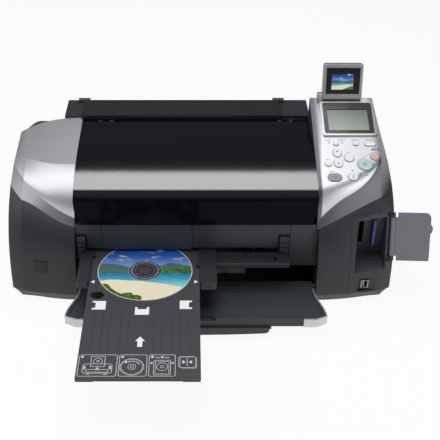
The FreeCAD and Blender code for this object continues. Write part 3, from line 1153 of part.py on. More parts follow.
def paper_guide():
    """Platen ahead of the feed roller and the ribbed guide behind it, on two long feet."""
    platen_y = EJECT_Y + EJECT_R + 1.5, FEED_Y - FEED_R - 1.0
    rear_y = FEED_Y + FEED_R + 1.0, BODY_BACK - WALL - 1.0
    slabs = [box(-150, 78, *platen_y, PATH_LOW - 6, PATH_LOW - 1.6),
             box(-150, 122, *rear_y, PATH_LOW - 3.2, PATH_LOW - 1.0)]
    ribs = [box(x, x + 2, *ends, PATH_LOW - 2, PATH_LOW)
            for ends, right in ((platen_y, 76), (rear_y, 120)) for x in range(-146, right, 24)]
    trough = box(-140, 66, -38, -18, PATH_LOW - 4.5, PATH_LOW + 1)
    feet = []
    for x in (-147.0, 70.0):
        low = FEED_Y - 2 * FEED_R, FEED_Y + 2 * FEED_R
        web = plate_x([(platen_y[0] + 4, FLOOR + SEAM), (WEB_BACK, FLOOR + SEAM),
                       (WEB_BACK, PATH_LOW - 3), (low[1], PATH_LOW - 3),
                       (low[1], PATH_LOW - 20), (low[0], PATH_LOW - 20), (low[0], PATH_LOW - 3),
                       (platen_y[0] + 4, PATH_LOW - 3)], x, x + 4)
        feet.append(web.cut(box(x - 1, x + 5, CHASSIS_Y - 1, CHASSIS_Y + SHEET + 1, 0, 52)))
    return fuse(slabs + ribs + feet).cut(trough)


def capping_station():
    tray = rounded_box(84, 164, -48, -10, 20, 66, 3.0)
    wells = [rounded_box(95, 122, -42, -16, 63, 70, 2.0), rounded_box(126, 153, -42, -16, 63, 70, 2.0)]
    lips = [rounded_box(93.5, 123.5, -43.5, -14.5, 65.5, 70.8, 2.5).cut(
                rounded_box(95, 122, -42, -16, 60, 75, 2.0)),
            rounded_box(124.5, 154.5, -43.5, -14.5, 65.5, 70.8, 2.5).cut(
                rounded_box(126, 153, -42, -16, 60, 75, 2.0))]
    foot = box(88, 138, -44, -14, FLOOR + SEAM, 21)
    return fuse([tray.cut(wells), foot] + lips)


def waste_ink_pad():
    return box(-132, 62, -58, 20, FLOOR + SEAM, 17)


def main_board():
    board = box(20, 142, BODY_BACK - 16.5, BODY_BACK - 14.9, 26, 58)
    chips = [box(x, x + 16, BODY_BACK - 19, BODY_BACK - 16.4, 32, 48) for x in (34.0, 64.0, 92.0)]
    posts = [rod_y(BODY_BACK - 15, BODY_BACK - WALL - 0.3, x, z, 2.0)
             for x in (26.0, 136.0) for z in (30.0, 54.0)]
    return fuse([board] + chips + posts)


def power_supply():
    rest = FOOT_H - FOOT_OUT + WALL + SEAM
    return rounded_box(-236, -199, -10, BODY_BACK - 22, rest, 86, 3.0)


BUILDERS = {
    "base_pan": base_pan,
    "rubber_feet": rubber_feet,
    "left_side_casing": left_side_casing,
    "right_side_casing": right_side_casing,
    "left_top_fairing": left_top_fairing,
    "control_panel_housing": control_panel_housing,
    "rear_casing": rear_casing,
    "front_fascia": front_fascia,
    "card_bay": card_bay,
    "usb_ports": usb_ports,
    "power_inlet": power_inlet,
    "lcd_bezel": lcd_bezel,
    "lcd_glass": lcd_glass,
    "panel_board": panel_board,
    "main_board": main_board,
    "power_supply": power_supply,
    "paper_guide": paper_guide,
    "engine_frame": engine_frame,
    "carriage_shaft": carriage_shaft,
    "timing_belt": timing_belt,
    "carriage_motor": carriage_motor,
    "feed_motor": feed_motor,
    "capping_station": capping_station,
    "waste_ink_pad": waste_ink_pad,
    "sheet_feeder": sheet_feeder,
    "disc_guide": disc_guide,
    "carriage": carriage,
    "ink_cartridges": ink_cartridges,
    "drive_pulley": lambda: pulley(MOTOR_X),
    "idler_pulley": lambda: pulley(IDLE_X),
    "feed_roller": feed_roller,
    "feed_idler": feed_idler,
    "feed_pinion": feed_pinion,
    "eject_roller": eject_roller,
    "pickup_roller": pickup_roller,
    "hopper_plate": hopper_plate,
    "edge_guide": edge_guide,
    "paper_support": paper_support,
    "support_extension": support_extension,
    "top_cover": top_cover,
    "output_tray": output_tray,
    "tray_trim": tray_trim,
    "tray_extension": tray_extension,
    "disc_tray": disc_tray,
    "disc": disc,
    "card_door": card_door,
    "memory_card": memory_card,
    "monitor_housing": monitor_housing,
    "monitor_screen": monitor_screen,
}
for key in BUTTONS:
    BUILDERS[key + "_button"] = lambda key=key: button(key)

os.makedirs("parts", exist_ok=True)
for node, builder in BUILDERS.items():
    shape = builder()
    shape.exportStep(os.path.join("parts", node + ".step"))
    print(node, len(shape.Solids), shape.isValid(), round(shape.Volume / 1000.0, 1))
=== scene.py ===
import math

import bmesh
import bpy
from mathutils import Matrix, Vector
from mathutils.geometry import convex_hull_2d


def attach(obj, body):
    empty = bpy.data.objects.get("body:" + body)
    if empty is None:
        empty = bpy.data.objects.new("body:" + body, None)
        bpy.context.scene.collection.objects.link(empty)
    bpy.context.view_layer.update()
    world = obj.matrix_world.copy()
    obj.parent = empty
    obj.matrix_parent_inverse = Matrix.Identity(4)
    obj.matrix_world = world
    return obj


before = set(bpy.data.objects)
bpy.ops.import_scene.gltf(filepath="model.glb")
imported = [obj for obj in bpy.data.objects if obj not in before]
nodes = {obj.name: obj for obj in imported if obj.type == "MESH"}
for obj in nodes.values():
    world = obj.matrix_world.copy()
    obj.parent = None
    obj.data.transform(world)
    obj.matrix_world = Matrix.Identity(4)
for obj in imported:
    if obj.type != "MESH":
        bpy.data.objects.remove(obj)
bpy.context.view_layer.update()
mm = 0.001

cameraSetup = {"place": (-0.0150, -1.0306, 0.7502), "tilt": 55.9, "lens": 72.5, "sensor": 36,
               "shiftX": 0.0686}
lightSetup = {
    "floorHeight": -0.002, "floorReach": 40.0, "floorColor": (0.78, 0.78, 0.785),
    "floorGlow": 0.93, "world": 0.14,
    "overheadSoftbox": ((0.0, -0.03, 1.25), (0.0, -0.03, 0.1), (0.78, 1.05), 8.2),
    "leftSoftbox": ((-0.97, -0.10, 0.99), (0.0, -0.05, 0.12), (1.3, 1.3), 8.6),
    "rightSoftbox": ((1.09, -0.68, 0.46), (0.0, -0.05, 0.12), (0.9, 0.8), 4.6),
}


def makeCamera(setup):
    data = bpy.data.cameras.new("studioCamera")
    data.lens = setup["lens"]
    data.sensor_width = setup["sensor"]
    data.shift_x = setup["shiftX"]
    camera = bpy.data.objects.new("studioCamera", data)
    camera.location = setup["place"]
    camera.rotation_euler = (math.radians(setup["tilt"]), 0, 0)
    bpy.context.scene.collection.objects.link(camera)
    bpy.context.scene.camera = camera


def softLight(name, place, aim, size, power):
    data = bpy.data.lights.new(name, "AREA")
    data.shape = "RECTANGLE"
    data.size, data.size_y = size
    data.energy = power
    lamp = bpy.data.objects.new(name, data)
    lamp.location = place
    lamp.rotation_euler = (Vector(aim) - Vector(place)).to_track_quat("-Z", "Y").to_euler()
    bpy.context.scene.collection.objects.link(lamp)


makeCamera(cameraSetup)
bpy.context.scene.view_settings.view_transform = "Standard"
for lampName in ("overheadSoftbox", "leftSoftbox", "rightSoftbox"):
    softLight(lampName, *lightSetup[lampName])
print("camera and lights are up")


class Value:
    # a number in a material; arithmetic on it adds the Math nodes
    def __init__(self, paint, socket):
        self.paint = paint
        self.socket = socket

    def math(self, operation, *others):
        return self.paint.add("Math", {"operation": operation}, dict(enumerate((self,) + others)))

    def __add__(self, other):
        return self.math("ADD", other)

    def __sub__(self, other):
        return self.math("SUBTRACT", other)

    def __mul__(self, other):
        return self.math("MULTIPLY", other)

    def __truediv__(self, other):
        return self.math("DIVIDE", other)

    def __rsub__(self, other):
        return self.paint.add("Math", {"operation": "SUBTRACT"}, {0: other, 1: self})

    def __lt__(self, other):
        return self.math("LESS_THAN", other)

    def __gt__(self, other):
        return self.math("GREATER_THAN", other)

    __radd__ = __add__
    __rmul__ = __mul__

    def between(self, low, high):
        return (self > low) * (self < high)

    def clamped(self):
        return self.paint.add("Clamp", {}, {"Value": self})


class Paint:
    # one finish on the Principled shader; add() is the only way that it gets nodes
    def __init__(self, name, color, roughness, metallic=0.0, coat=0.0, coatRoughness=0.03):
        self.material = bpy.data.materials.new(name)
        self.material.use_nodes = True
        self.tree = self.material.node_tree
        self.shader = self.tree.nodes["Principled BSDF"].inputs
        self.shader["Base Color"].default_value = (*color, 1)
        self.shader["Roughness"].default_value = roughness
        self.shader["Metallic"].default_value = metallic
        self.shader["Coat Weight"].default_value = coat
        self.shader["Coat Roughness"].default_value = coatRoughness
        self.place = self.add("TexCoord", {}, {}, "Object")
        self.surface = Value(self, self.tree.nodes["Principled BSDF"].outputs["BSDF"])

    def add(self, kind, settings, sockets, output=0):
        node = self.tree.nodes.new("ShaderNode" + kind)
        for key, setting in settings.items():
            if key == "stops":
                while len(node.color_ramp.elements) < len(setting):
                    node.color_ramp.elements.new(1.0)
                for element, (position, color) in zip(node.color_ramp.elements, setting):
                    element.position = position
                    element.color = (*color, 1)
            elif key == "curve":
                points = node.mapping.curves[0].points
                while len(points) < len(setting):
                    points.new(0.5, 0.5)
                for point, place in zip(points, setting):
                    point.location = place
                node.mapping.update()
            else:
                setattr(node, key, setting)
        for key, value in sockets.items():
            self.feed(node.inputs[key], value)
        return Value(self, node.outputs[output])

    def feed(self, socket, value):
        if isinstance(value, Value):
            self.tree.links.new(value.socket, socket)
        elif socket.type == "RGBA":
            socket.default_value = (*value, 1)
        else:
            socket.default_value = value

    def axes(self):
        split = self.add("SeparateXYZ", {}, {"Vector": self.place}).socket.node
        return [Value(self, socket) for socket in split.outputs]

    def noise(self, scale, detail=2.0, rough=0.5, stretch=(1, 1, 1)):
        where = self.add("Mapping", {}, {"Vector": self.place, "Scale": stretch})
        return self.add("TexNoise", {}, {"Vector": where, "Scale": scale, "Detail": detail,
                                         "Roughness": rough})

    def cells(self, scale):
        return self.add("TexVoronoi", {}, {"Vector": self.place, "Scale": scale})

    def mix(self, amount, first, second):
        return self.add("Mix", {"data_type": "RGBA"}, {0: amount, 6: first, 7: second}, 2)

    def ramp(self, amount, stops):
        return self.add("ValToRGB", {"stops": stops}, {0: amount})

    def bump(self, height, strength, depth):
        normal = self.add("Bump", {}, {"Height": height, "Strength": strength, "Distance": depth})
        self.feed(self.shader["Normal"], normal)

    def put(self, **sockets):
        names = {"color": "Base Color", "roughness": "Roughness", "metallic": "Metallic",
                 "coat": "Coat Weight", "glow": "Emission Color"}
        for key, value in sockets.items():
            self.feed(self.shader[names[key]], value)


def tone(red, green, blue):
    # linear colour from the 0 to 255 values of a swatch
    return tuple((c / 255 / 12.92) if c <= 10 else ((c / 255 + 0.055) / 1.055) ** 2.4
                 for c in (red, green, blue))


def shade(color, factor):
    return tuple(min(1.0, c * factor) for c in color)


def mottled(paint, amount, color, spread):
    # the colour, a little darker or lighter as the amount goes from 0 to 1
    return paint.mix(amount, shade(color, 1 - spread), shade(color, 1 + spread))


mouldTexture = {"flow": 22, "smudge": 70, "spark": 1400, "depth": 0.00006, "spread": 0.12}


def mouldFlow(paint):
    return paint.noise(mouldTexture["flow"], 3.0, 0.55, (1, 1, 2.2))


def mouldedPlastic(name, color, roughness, coat=0.0, strength=0.35):
    # spark-eroded mould texture, faint flow variation and handling marks
    paint = Paint(name, color, roughness, coat=coat)
    smudge = paint.noise(mouldTexture["smudge"], 4.0, 0.6)
    spark = paint.noise(mouldTexture["spark"], 2.0, 0.6)
    paint.put(color=mottled(paint, mouldFlow(paint), color, mouldTexture["spread"]),
              roughness=roughness + (smudge - 0.5) * 0.14 + (spark - 0.5) * 0.08)
    paint.bump(spark, strength, mouldTexture["depth"])
    return paint


def recessLitPlastic(name, color, roughness, inside, recess):
    # moulded plastic whose recess gets painted light: a lighter tone, between two planes each way
    paint = mouldedPlastic(name, color, roughness)
    x, _, z = paint.axes()
    flow = mouldFlow(paint)
    wall = mottled(paint, flow, color, mouldTexture["spread"])
    deep = mottled(paint, flow, inside, mouldTexture["spread"])
    # painted light: inside the shaded recess the colour is the lighter inside tone
    litRecess = x.between(*recess["across"]) * z.between(*recess["up"])
    paint.put(color=paint.mix(litRecess, wall, deep))
    return paint


silverTexture = {"roughness": 0.42, "metallic": 0.9, "flake": 2600, "peel": 420, "cloud": 14,
                 "spread": 0.10, "edgeBlur": 1.6}


def silverPaint(name, color, bevelShadeColor=None, bevel=None):
    # sprayed silver: fine flakes under a satin lacquer; where a bevel is given, painted shade darkens the
    # bevel, the outer side and the neck
    roughness, spread = silverTexture["roughness"], silverTexture["spread"]
    paint = Paint(name, color, roughness, silverTexture["metallic"])
    flake = paint.cells(silverTexture["flake"])
    peel = paint.noise(silverTexture["peel"], 2.0, 0.5)
    cloud = paint.noise(silverTexture["cloud"], 3.0, 0.5)
    sparkle = flake * 0.7 + cloud * 0.3
    silver = mottled(paint, sparkle, color, spread)
    if bevel:
        # painted shade: below the bright top's edge, fading down the outer side and in a band along the
        # neck, the silver turns to the darker shade colour
        x, y, z = paint.axes()
        (left, right), (low, high) = bevel["x"], bevel["z"]
        rows = [((px - left) / (right - left), (pz - low) / (high - low)) for px, pz in bevel["edge"]]
        edge = paint.add("FloatCurve", {"curve": rows}, {"Value": (x / mm - left) / (right - left)})
        height = edge * (high - low) + low
        shadeBelowEdge = ((height - z / mm) * silverTexture["edgeBlur"] + 0.5).clamped()
        shadeDownSide = ((x / mm * bevel["side"] - bevel["sideFrom"]) / bevel["sideFade"]).clamped()
        amount = shadeBelowEdge.math("MAXIMUM", shadeDownSide * bevel["sideDepth"])
        if "neck" in bevel:
            neck = bevel["neck"]
            back = ((y - neck["front"] * mm) / (neck["length"] * mm)).clamped()
            inward = (x - neck["left"] * mm) / (back * neck["widening"] * mm + neck["width"] * mm)
            amount = amount.math("MAXIMUM", (1.0 - inward).clamped())
        silver = paint.mix(amount, silver, mottled(paint, sparkle, bevelShadeColor, spread))
    paint.put(color=silver, roughness=roughness + (flake - 0.5) * 0.08 + (cloud - 0.5) * 0.05)
    paint.bump(peel * 0.7 + flake * 0.3, 0.12, 0.00005)
    return paint


coverGloss = {"roughness": 0.1, "specular": 0.05, "coatRoughness": 0.14, "coatIndex": 2.2,
              "browLow": 0.1565, "browTall": 0.0095, "browEdge": 800, "topEdge": 150, "topCoat": 0.25}


def glossPlastic(name, color, gloss):
    # polished plastic, lacquered on its brow and less above it, with faint swirls and dust
    roughness, browLow = gloss["roughness"], gloss["browLow"]
    paint = Paint(name, color, roughness, coat=1.0, coatRoughness=gloss["coatRoughness"])
    paint.shader["Specular IOR Level"].default_value = gloss["specular"]
    paint.shader["Coat IOR"].default_value = gloss["coatIndex"]
    z = paint.axes()[2]
    onBrow = ((z - browLow) * gloss["browEdge"]).clamped()
    above = ((z - browLow - gloss["browTall"]) * gloss["topEdge"]).clamped()
    lacquer = onBrow * (1.0 - above * (1 - gloss["topCoat"]))
    swirl = paint.noise(95, 5.0, 0.7, (1, 0.25, 1))
    dust = paint.cells(900) < 0.045
    paint.put(color=paint.mix(dust * 0.5, color, (0.05, 0.05, 0.055)),
              roughness=roughness + swirl * 0.05 + dust * 0.25, coat=lacquer)
    paint.bump(paint.noise(9, 1.0, 0.4), 0.01, 0.0001)
    return paint


def sheetSteel(name, color, roughness=0.34, along=(1, 30, 30)):
    # plated steel with rolling marks and spangle
    paint = Paint(name, color, roughness, 1.0)
    rolled = paint.noise(60, 4.0, 0.65, along)
    spangle = paint.cells(160)
    paint.put(color=paint.mix(rolled * 0.6 + spangle * 0.4, shade(color, 0.78), shade(color, 1.08)),
              roughness=roughness + (rolled - 0.5) * 0.22)
    paint.bump(rolled, 0.12, 0.00006)
    return paint


def rubberFinish(name, color, ribs=0.0):
    # matt rubber, worn in patches, with fine ribs where it has them
    paint = Paint(name, color, 0.78)
    grit = paint.noise(900, 3.0, 0.6)
    wear = paint.noise(60, 3.0, 0.6)
    paint.put(color=paint.mix(wear, shade(color, 0.7), shade(color, 1.5)),
              roughness=0.74 + (wear - 0.5) * 0.3)
    height = grit
    if ribs:
        height = grit * 0.3 + (paint.axes()[0] * ribs).math("SINE")
    paint.bump(height, 0.3, 0.0001)
    return paint


def circuitBoard(name):
    # green lacquer over copper tracks that wander two ways, with bare pads
    paint = Paint(name, (0.02, 0.09, 0.035), 0.42)
    x, y, z = paint.axes()
    trackA = ((x * 900 + paint.noise(40) * 9).math("SINE")) > 0.45
    trackB = ((z * 800 + y * 300 + paint.noise(30) * 7).math("SINE")) > 0.72
    pads = paint.cells(210) < 0.16
    copper = paint.mix(pads, (0.025, 0.14, 0.05), (0.55, 0.45, 0.2))
    paint.put(color=paint.mix((trackA + trackB + pads).clamped(), (0.012, 0.062, 0.024), copper),
              roughness=0.46 - pads * 0.2, metallic=pads * 0.8)
    paint.bump(trackA + trackB + pads, 0.2, 0.00004)
    return paint


def feltPad(name, clean, inked):
    # pressed fibre with soaked-in ink stains
    paint = Paint(name, clean, 0.95)
    fibre = paint.noise(700, 6.0, 0.75, (1, 4, 1))
    stain = paint.noise(18, 4.0, 0.6)
    soaked = ((stain - 0.46) * 5.0).clamped()
    paint.put(color=paint.mix(soaked, clean, inked))
    paint.bump(fibre, 0.6, 0.0003)
    return paint


cartridgeRow = {
    "shell": (0.02, 0.02, 0.022), "left": 0.0765, "pitch": 0.0158333,
    "labelTall": (0.1435, 0.2), "labelDeep": (-0.046, -0.016),
    "inks": ((0.01, 0.01, 0.01), (0.0, 0.25, 0.6), (0.6, 0.02, 0.2), (0.85, 0.7, 0.02),
             (0.25, 0.6, 0.8), (0.85, 0.35, 0.5)),
}


def inkLabels(name, row):
    # dark cartridge bodies whose top labels change colour from cell to cell
    paint = Paint(name, row["shell"], 0.4)
    x, y, z = paint.axes()
    cell = ((x - row["left"]) / row["pitch"]).math("FLOOR")
    color = row["inks"][0]
    for number, ink in enumerate(row["inks"][1:], 1):
        color = paint.mix(cell > number - 0.5, color, ink)
    label = z.between(*row["labelTall"]) * y.between(*row["labelDeep"])
    paint.put(color=paint.mix(label, row["shell"], color), roughness=0.42 - label * 0.12)
    paint.bump(paint.noise(1300), 0.25, 0.00006)
    return paint


def landscape(paint, across, up):
    # sky with clouds over far hills, a lake, reeds and a sandy shore; 0 to 1 both ways
    wave = paint.noise(46, 4.0, 0.6)
    fine = paint.noise(260, 5.0, 0.7)
    sky = paint.ramp(up, [(0.45, tone(150, 190, 226)), (0.75, tone(46, 96, 186)),
                          (1.0, tone(14, 38, 118))])
    cloudShape = paint.noise(60, 5.0, 0.62, (1.0, 2.6, 2.6))
    cloud = ((cloudShape - 0.56) * 7).clamped() * (up > 0.66)
    sky = paint.mix(cloud * 0.8, sky, tone(240, 244, 250))
    hillLine = 0.575 + (across * 9.0 + 0.6).math("SINE") * 0.045 + (wave - 0.5) * 0.10
    hills = paint.mix(fine, tone(52, 84, 92), tone(96, 132, 120))
    nearLine = 0.50 + (across * 5.0 + 2.9).math("SINE") * 0.05 + (wave - 0.5) * 0.06
    woods = paint.mix(((fine - 0.35) * 3).clamped(), tone(22, 62, 22), tone(104, 148, 44))
    ripple = paint.noise(150, 4.0, 0.6, (0.5, 4.0, 4.0))
    lake = paint.ramp(up, [(0.24, tone(150, 214, 208)), (0.36, tone(40, 158, 186)),
                           (0.47, tone(16, 96, 156))])
    lake = paint.mix((ripple - 0.5) * 1.2, lake, tone(196, 232, 236))
    shoreLine = 0.27 + (across * 3.4 + 0.8).math("SINE") * 0.07 + (wave - 0.5) * 0.05
    sand = paint.mix(fine, tone(232, 220, 190), tone(252, 244, 222))
    picture = paint.mix(up < hillLine, sky, hills)
    picture = paint.mix(up < nearLine, picture, woods)
    picture = paint.mix(up < 0.455, picture, lake)
    picture = paint.mix(up < shoreLine, picture, sand)
    bankLine = 0.30 - across * 0.62 + (wave - 0.5) * 0.30
    reeds = paint.mix(((fine - 0.4) * 3).clamped(), tone(26, 70, 18), tone(138, 168, 52))
    return paint.mix(up < bankLine, picture, reeds)


discPrint = {"centre": (-0.0716, -0.137), "radius": 0.060, "hub": 0.0195,
             "stackRing": (0.0165, 0.0172), "bareRim": 0.0011}


def printedDisc(name, disc):
    # printable face of a disc, with its clear hub, stacking ring and edge left bare
    paint = Paint(name, (0.7, 0.7, 0.7), 0.3, coat=0.6, coatRoughness=0.12)
    x, y, _ = paint.axes()
    dx, dy = x - disc["centre"][0], y - disc["centre"][1]
    reach = (dx * dx + dy * dy).math("SQRT")
    width = 2 * disc["radius"]
    picture = landscape(paint, dx / width + 0.5, dy / width + 0.5)
    hub = reach < disc["hub"]
    moulding = ((reach * 2600).math("SINE") > 0.3) * hub
    hubColor = paint.mix(moulding, tone(40, 40, 44), tone(78, 78, 82))
    stackRing = reach.between(*disc["stackRing"])
    hubColor = paint.mix(stackRing, hubColor, tone(150, 150, 154))
    rim = reach > disc["radius"] - disc["bareRim"]
    color = paint.mix(hub, picture, hubColor)
    paint.put(color=paint.mix(rim, color, tone(205, 208, 212)),
              roughness=0.3 - hub * 0.12 + (paint.noise(500) - 0.5) * 0.06)
    paint.bump(moulding + stackRing, 0.2, 0.0001)
    return paint


monitorPicture = {
    "surround": (0.004, 0.004, 0.005), "gap": (0.02, 0.02, 0.02), "glow": 0.85, "pixels": 26000,
    "pivot": (0.053, 0.219), "lean": math.radians(12),
    "left": 0.1745, "right": 0.2035, "low": 0.0095, "high": 0.0305,
}


def pictureScreen(name, screen):
    # small colour display: picture in a black surround, with its pixel grid
    paint = Paint(name, screen["surround"], 0.09, coat=0.15)
    paint.shader["Specular IOR Level"].default_value = 0.2
    paint.shader["Emission Strength"].default_value = screen["glow"]
    x, y, z = paint.axes()
    (pivotY, pivotZ), lean = screen["pivot"], screen["lean"]
    height = (z - pivotZ) * math.cos(lean) + (y - pivotY) * math.sin(lean)
    across = (x - screen["left"]) / (screen["right"] - screen["left"])
    up = (height - screen["low"]) / (screen["high"] - screen["low"])
    inside = across.between(0.0, 1.0) * up.between(0.0, 1.0)
    picture = landscape(paint, 1.0 - across, up)
    column, row = [(way * screen["pixels"]).math("SINE") > 0.9 for way in (x, height)]
    grid = column.math("MAXIMUM", row)
    dark = paint.mix(grid * 0.5, (0, 0, 0), screen["gap"])
    lit = paint.mix(inside, (0, 0, 0), paint.mix(grid * 0.25, picture, screen["gap"]))
    paint.put(color=paint.mix(inside, screen["surround"], dark), glow=lit,
              roughness=0.09 + paint.noise(60) * 0.06)
    return paint


panelDisplay = {"front": -0.004, "deep": 0.036, "dots": 14000}


def lcdFace(name, display):
    # reflective display, switched off, paler towards its lower edge
    paint = Paint(name, tone(140, 152, 138), 0.28, coat=0.35, coatRoughness=0.12)
    x, y, _ = paint.axes()
    up = (y - display["front"]) / display["deep"]
    glass = paint.ramp(up, [(0.0, tone(160, 171, 153)), (1.0, tone(108, 120, 111))])
    column, row = [(way * display["dots"]).math("SINE") > 0.55 for way in (x, y)]
    dots = column * row
    mottle = paint.noise(40, 3.0, 0.6)
    paint.put(color=paint.mix(dots * 0.16 + (mottle - 0.5) * 0.2, glass, tone(86, 98, 90)),
              roughness=0.26 + (mottle - 0.5) * 0.1)
    return paint


def cardLabel(name, low, high):
    # memory card: dark shell with a bare blue band between two heights
    paint = Paint(name, tone(24, 34, 92), 0.36)
    band = paint.axes()[2].between(low, high)
    face = paint.mix(paint.noise(120, 3.0), tone(30, 52, 140), tone(48, 78, 182))
    paint.put(color=paint.mix(band, tone(18, 22, 44), face),
              roughness=0.36 + (paint.noise(700) - 0.5) * 0.1)
    paint.bump(paint.noise(1200), 0.2, 0.00005)
    return paint


# in millimetres: where the bright top's lower edge gives way to painted shade across each fairing, the
# painted shade fading down its outer side and, at the right, the painted shade band along the neck beside
# the cover
leftBevelShade = {"x": (-250, -145), "z": (100, 170),
             "side": -1, "sideFrom": 238, "sideFade": 12, "sideDepth": 0.5,
             "edge": ((-250, 149), (-241, 148), (-232, 146), (-205, 134), (-175, 121), (-145, 112))}
rightBevelShade = {"x": (145, 250), "z": (100, 190),
              "side": 1, "sideFrom": 223, "sideFade": 11, "sideDepth": 1.0,
              "neck": {"front": -60, "length": 117, "left": 151.5, "width": 2, "widening": 13},
              "edge": ((145, 112), (175, 139), (205, 152), (217, 160), (226, 169), (233, 178),
                       (250, 180))}
cardRecess = {"across": (0.1983, 0.2402), "up": (0.0458, 0.1132)}
finishes = {
    "casing": mouldedPlastic("casingPlastic", tone(41, 44, 49), 0.46),
    # the lighter tone inside the card recess is painted light
    "bay": recessLitPlastic("bayPlastic", tone(41, 44, 49), 0.46, tone(74, 77, 83), cardRecess),
    "pan": mouldedPlastic("panPlastic", tone(40, 43, 48), 0.5),
    "fascia": mouldedPlastic("fasciaPlastic", tone(54, 56, 62), 0.4),
    "guide": mouldedPlastic("guidePlastic", tone(36, 38, 43), 0.44),
    "tray": mouldedPlastic("trayPlastic", tone(52, 56, 60), 0.44),
    "discTray": mouldedPlastic("discTrayPlastic", tone(62, 63, 67), 0.42),
    "inner": mouldedPlastic("innerPlastic", tone(32, 33, 36), 0.5),
    "door": mouldedPlastic("doorPlastic", tone(124, 125, 131), 0.46),
    "support": mouldedPlastic("supportPlastic", tone(33, 33, 38), 0.36),
    # the second silver colour of each fairing is painted shade on its bevel, outer side and neck
    "leftSilver": silverPaint("leftSilver", tone(208, 209, 213), tone(150, 151, 155), leftBevelShade),
    "rightSilver": silverPaint("rightSilver", tone(208, 209, 213), tone(104, 105, 109), rightBevelShade),
    "rim": silverPaint("rimPaint", tone(206, 208, 211)),
    "monitor": silverPaint("monitorPaint", tone(158, 160, 164)),
    "gloss": glossPlastic("glossBlack", (0.004, 0.004, 0.008), coverGloss),
    "bezel": mouldedPlastic("bezelPlastic", tone(28, 29, 31), 0.3, coat=0.3, strength=0.15),
    "lcd": lcdFace("lcdFace", panelDisplay),
    "steel": sheetSteel("chassisSteel", (0.52, 0.53, 0.54)),
    "shaft": sheetSteel("groundShaft", (0.66, 0.66, 0.67), 0.2, (30, 1, 1)),
    "grit": sheetSteel("gritRoller", (0.26, 0.26, 0.27), 0.55, (4, 4, 4)),
    "contact": sheetSteel("contactSteel", (0.30, 0.30, 0.30), 0.42),
    "motor": sheetSteel("motorCan", (0.4, 0.4, 0.41), 0.4, (4, 4, 4)),
    "brass": sheetSteel("sinteredBrass", (0.55, 0.43, 0.2), 0.42, (4, 4, 4)),
    "acetal": mouldedPlastic("acetalGear", tone(222, 220, 208), 0.38),
    "rubber": rubberFinish("footRubber", (0.018, 0.018, 0.018)),
    "tyre": rubberFinish("rollerRubber", (0.03, 0.03, 0.032), 3600),
    "belt": rubberFinish("beltRubber", (0.014, 0.014, 0.015), 3100),
    "board": circuitBoard("circuitBoard"),
    "felt": feltPad("inkFelt", (0.55, 0.55, 0.52), (0.12, 0.11, 0.14)),
    "ink": inkLabels("cartridgeInk", cartridgeRow),
    "disc": printedDisc("printedDisc", discPrint),
    "screen": pictureScreen("pictureScreen", monitorPicture),
    "card": cardLabel("cardLabel", 0.072, 0.1048),
    "button": mouldedPlastic("buttonPlastic", tone(232, 233, 236), 0.4, strength=0.12),
    "stop": mouldedPlastic("stopButton", tone(214, 188, 172), 0.36, strength=0.12),
    "start": mouldedPlastic("startButton", tone(180, 208, 198), 0.36, strength=0.12),
    "power": mouldedPlastic("powerButton", tone(146, 147, 150), 0.36, strength=0.12),
    "white print": mouldedPlastic("whitePrint", tone(246, 247, 250), 0.5, strength=0.1),
    "line print": mouldedPlastic("linePrint", tone(214, 217, 220), 0.5, strength=0.1),
    "outline print": mouldedPlastic("outlinePrint", tone(98, 100, 104), 0.5, strength=0.1),
    "caption print": mouldedPlastic("captionPrint", tone(84, 85, 90), 0.5, strength=0.1),
    "pill print": mouldedPlastic("pillPrint", tone(72, 73, 78), 0.5, strength=0.1),
    "start print": mouldedPlastic("startPrint", tone(132, 166, 154), 0.5, strength=0.1),
    "stop print": mouldedPlastic("stopPrint", tone(164, 122, 104), 0.5, strength=0.1),
    "hub print": mouldedPlastic("hubPrint", tone(142, 143, 148), 0.4, strength=0.1),
    "plate": mouldedPlastic("platePlastic", tone(20, 21, 24), 0.5, strength=0.12),
    "lamp": mouldedPlastic("lampLens", tone(92, 70, 40), 0.16, coat=1.0, strength=0.1),
    "screw": sheetSteel("blackScrew", (0.05, 0.05, 0.052), 0.35, (4, 4, 4)),
}

dressing = {
    "casing": ["left_side_casing", "right_side_casing", "rear_casing"],
    "bay": ["card_bay"],
    "pan": ["base_pan"],
    "fascia": ["front_fascia"],
    "guide": ["disc_guide", "sheet_feeder", "hopper_plate", "paper_guide"],
    "tray": ["output_tray", "tray_extension"],
    "discTray": ["disc_tray"],
    "inner": ["carriage", "capping_station", "power_supply", "power_inlet", "edge_guide"],
    "door": ["card_door"],
    "support": ["paper_support", "support_extension"],
    "leftSilver": ["left_top_fairing"],
    "rightSilver": ["control_panel_housing"],
    "rim": ["tray_trim"],
    "monitor": ["monitor_housing"],
    "gloss": ["top_cover"],
    "bezel": ["lcd_bezel"],
    "lcd": ["lcd_glass"],
    "steel": ["engine_frame"],
    "shaft": ["carriage_shaft"],
    "grit": ["feed_roller"],
    "contact": ["usb_ports"],
    "motor": ["carriage_motor", "feed_motor"],
    "brass": ["feed_pinion"],
    "acetal": ["drive_pulley", "idler_pulley", "feed_idler"],
    "rubber": ["rubber_feet"],
    "tyre": ["eject_roller", "pickup_roller"],
    "belt": ["timing_belt"],
    "board": ["panel_board", "main_board"],
    "felt": ["waste_ink_pad"],
    "ink": ["ink_cartridges"],
    "disc": ["disc"],
    "screen": ["monitor_screen"],
    "card": ["memory_card"],
    "button": ["mode_button", "custom_button", "options_button", "up_button", "down_button",
               "ok_button", "back_button", "maintenance_button"],
    "stop": ["stop_button"],
    "start": ["start_button"],
    "power": ["power_button"],
}
for finish, names in dressing.items():
    for name in names:
        slots = nodes[name].data.materials
        slots.clear()
        slots.append(finishes[finish].material)
print("finishes are on", sum(len(names) for names in dressing.values()), "nodes")


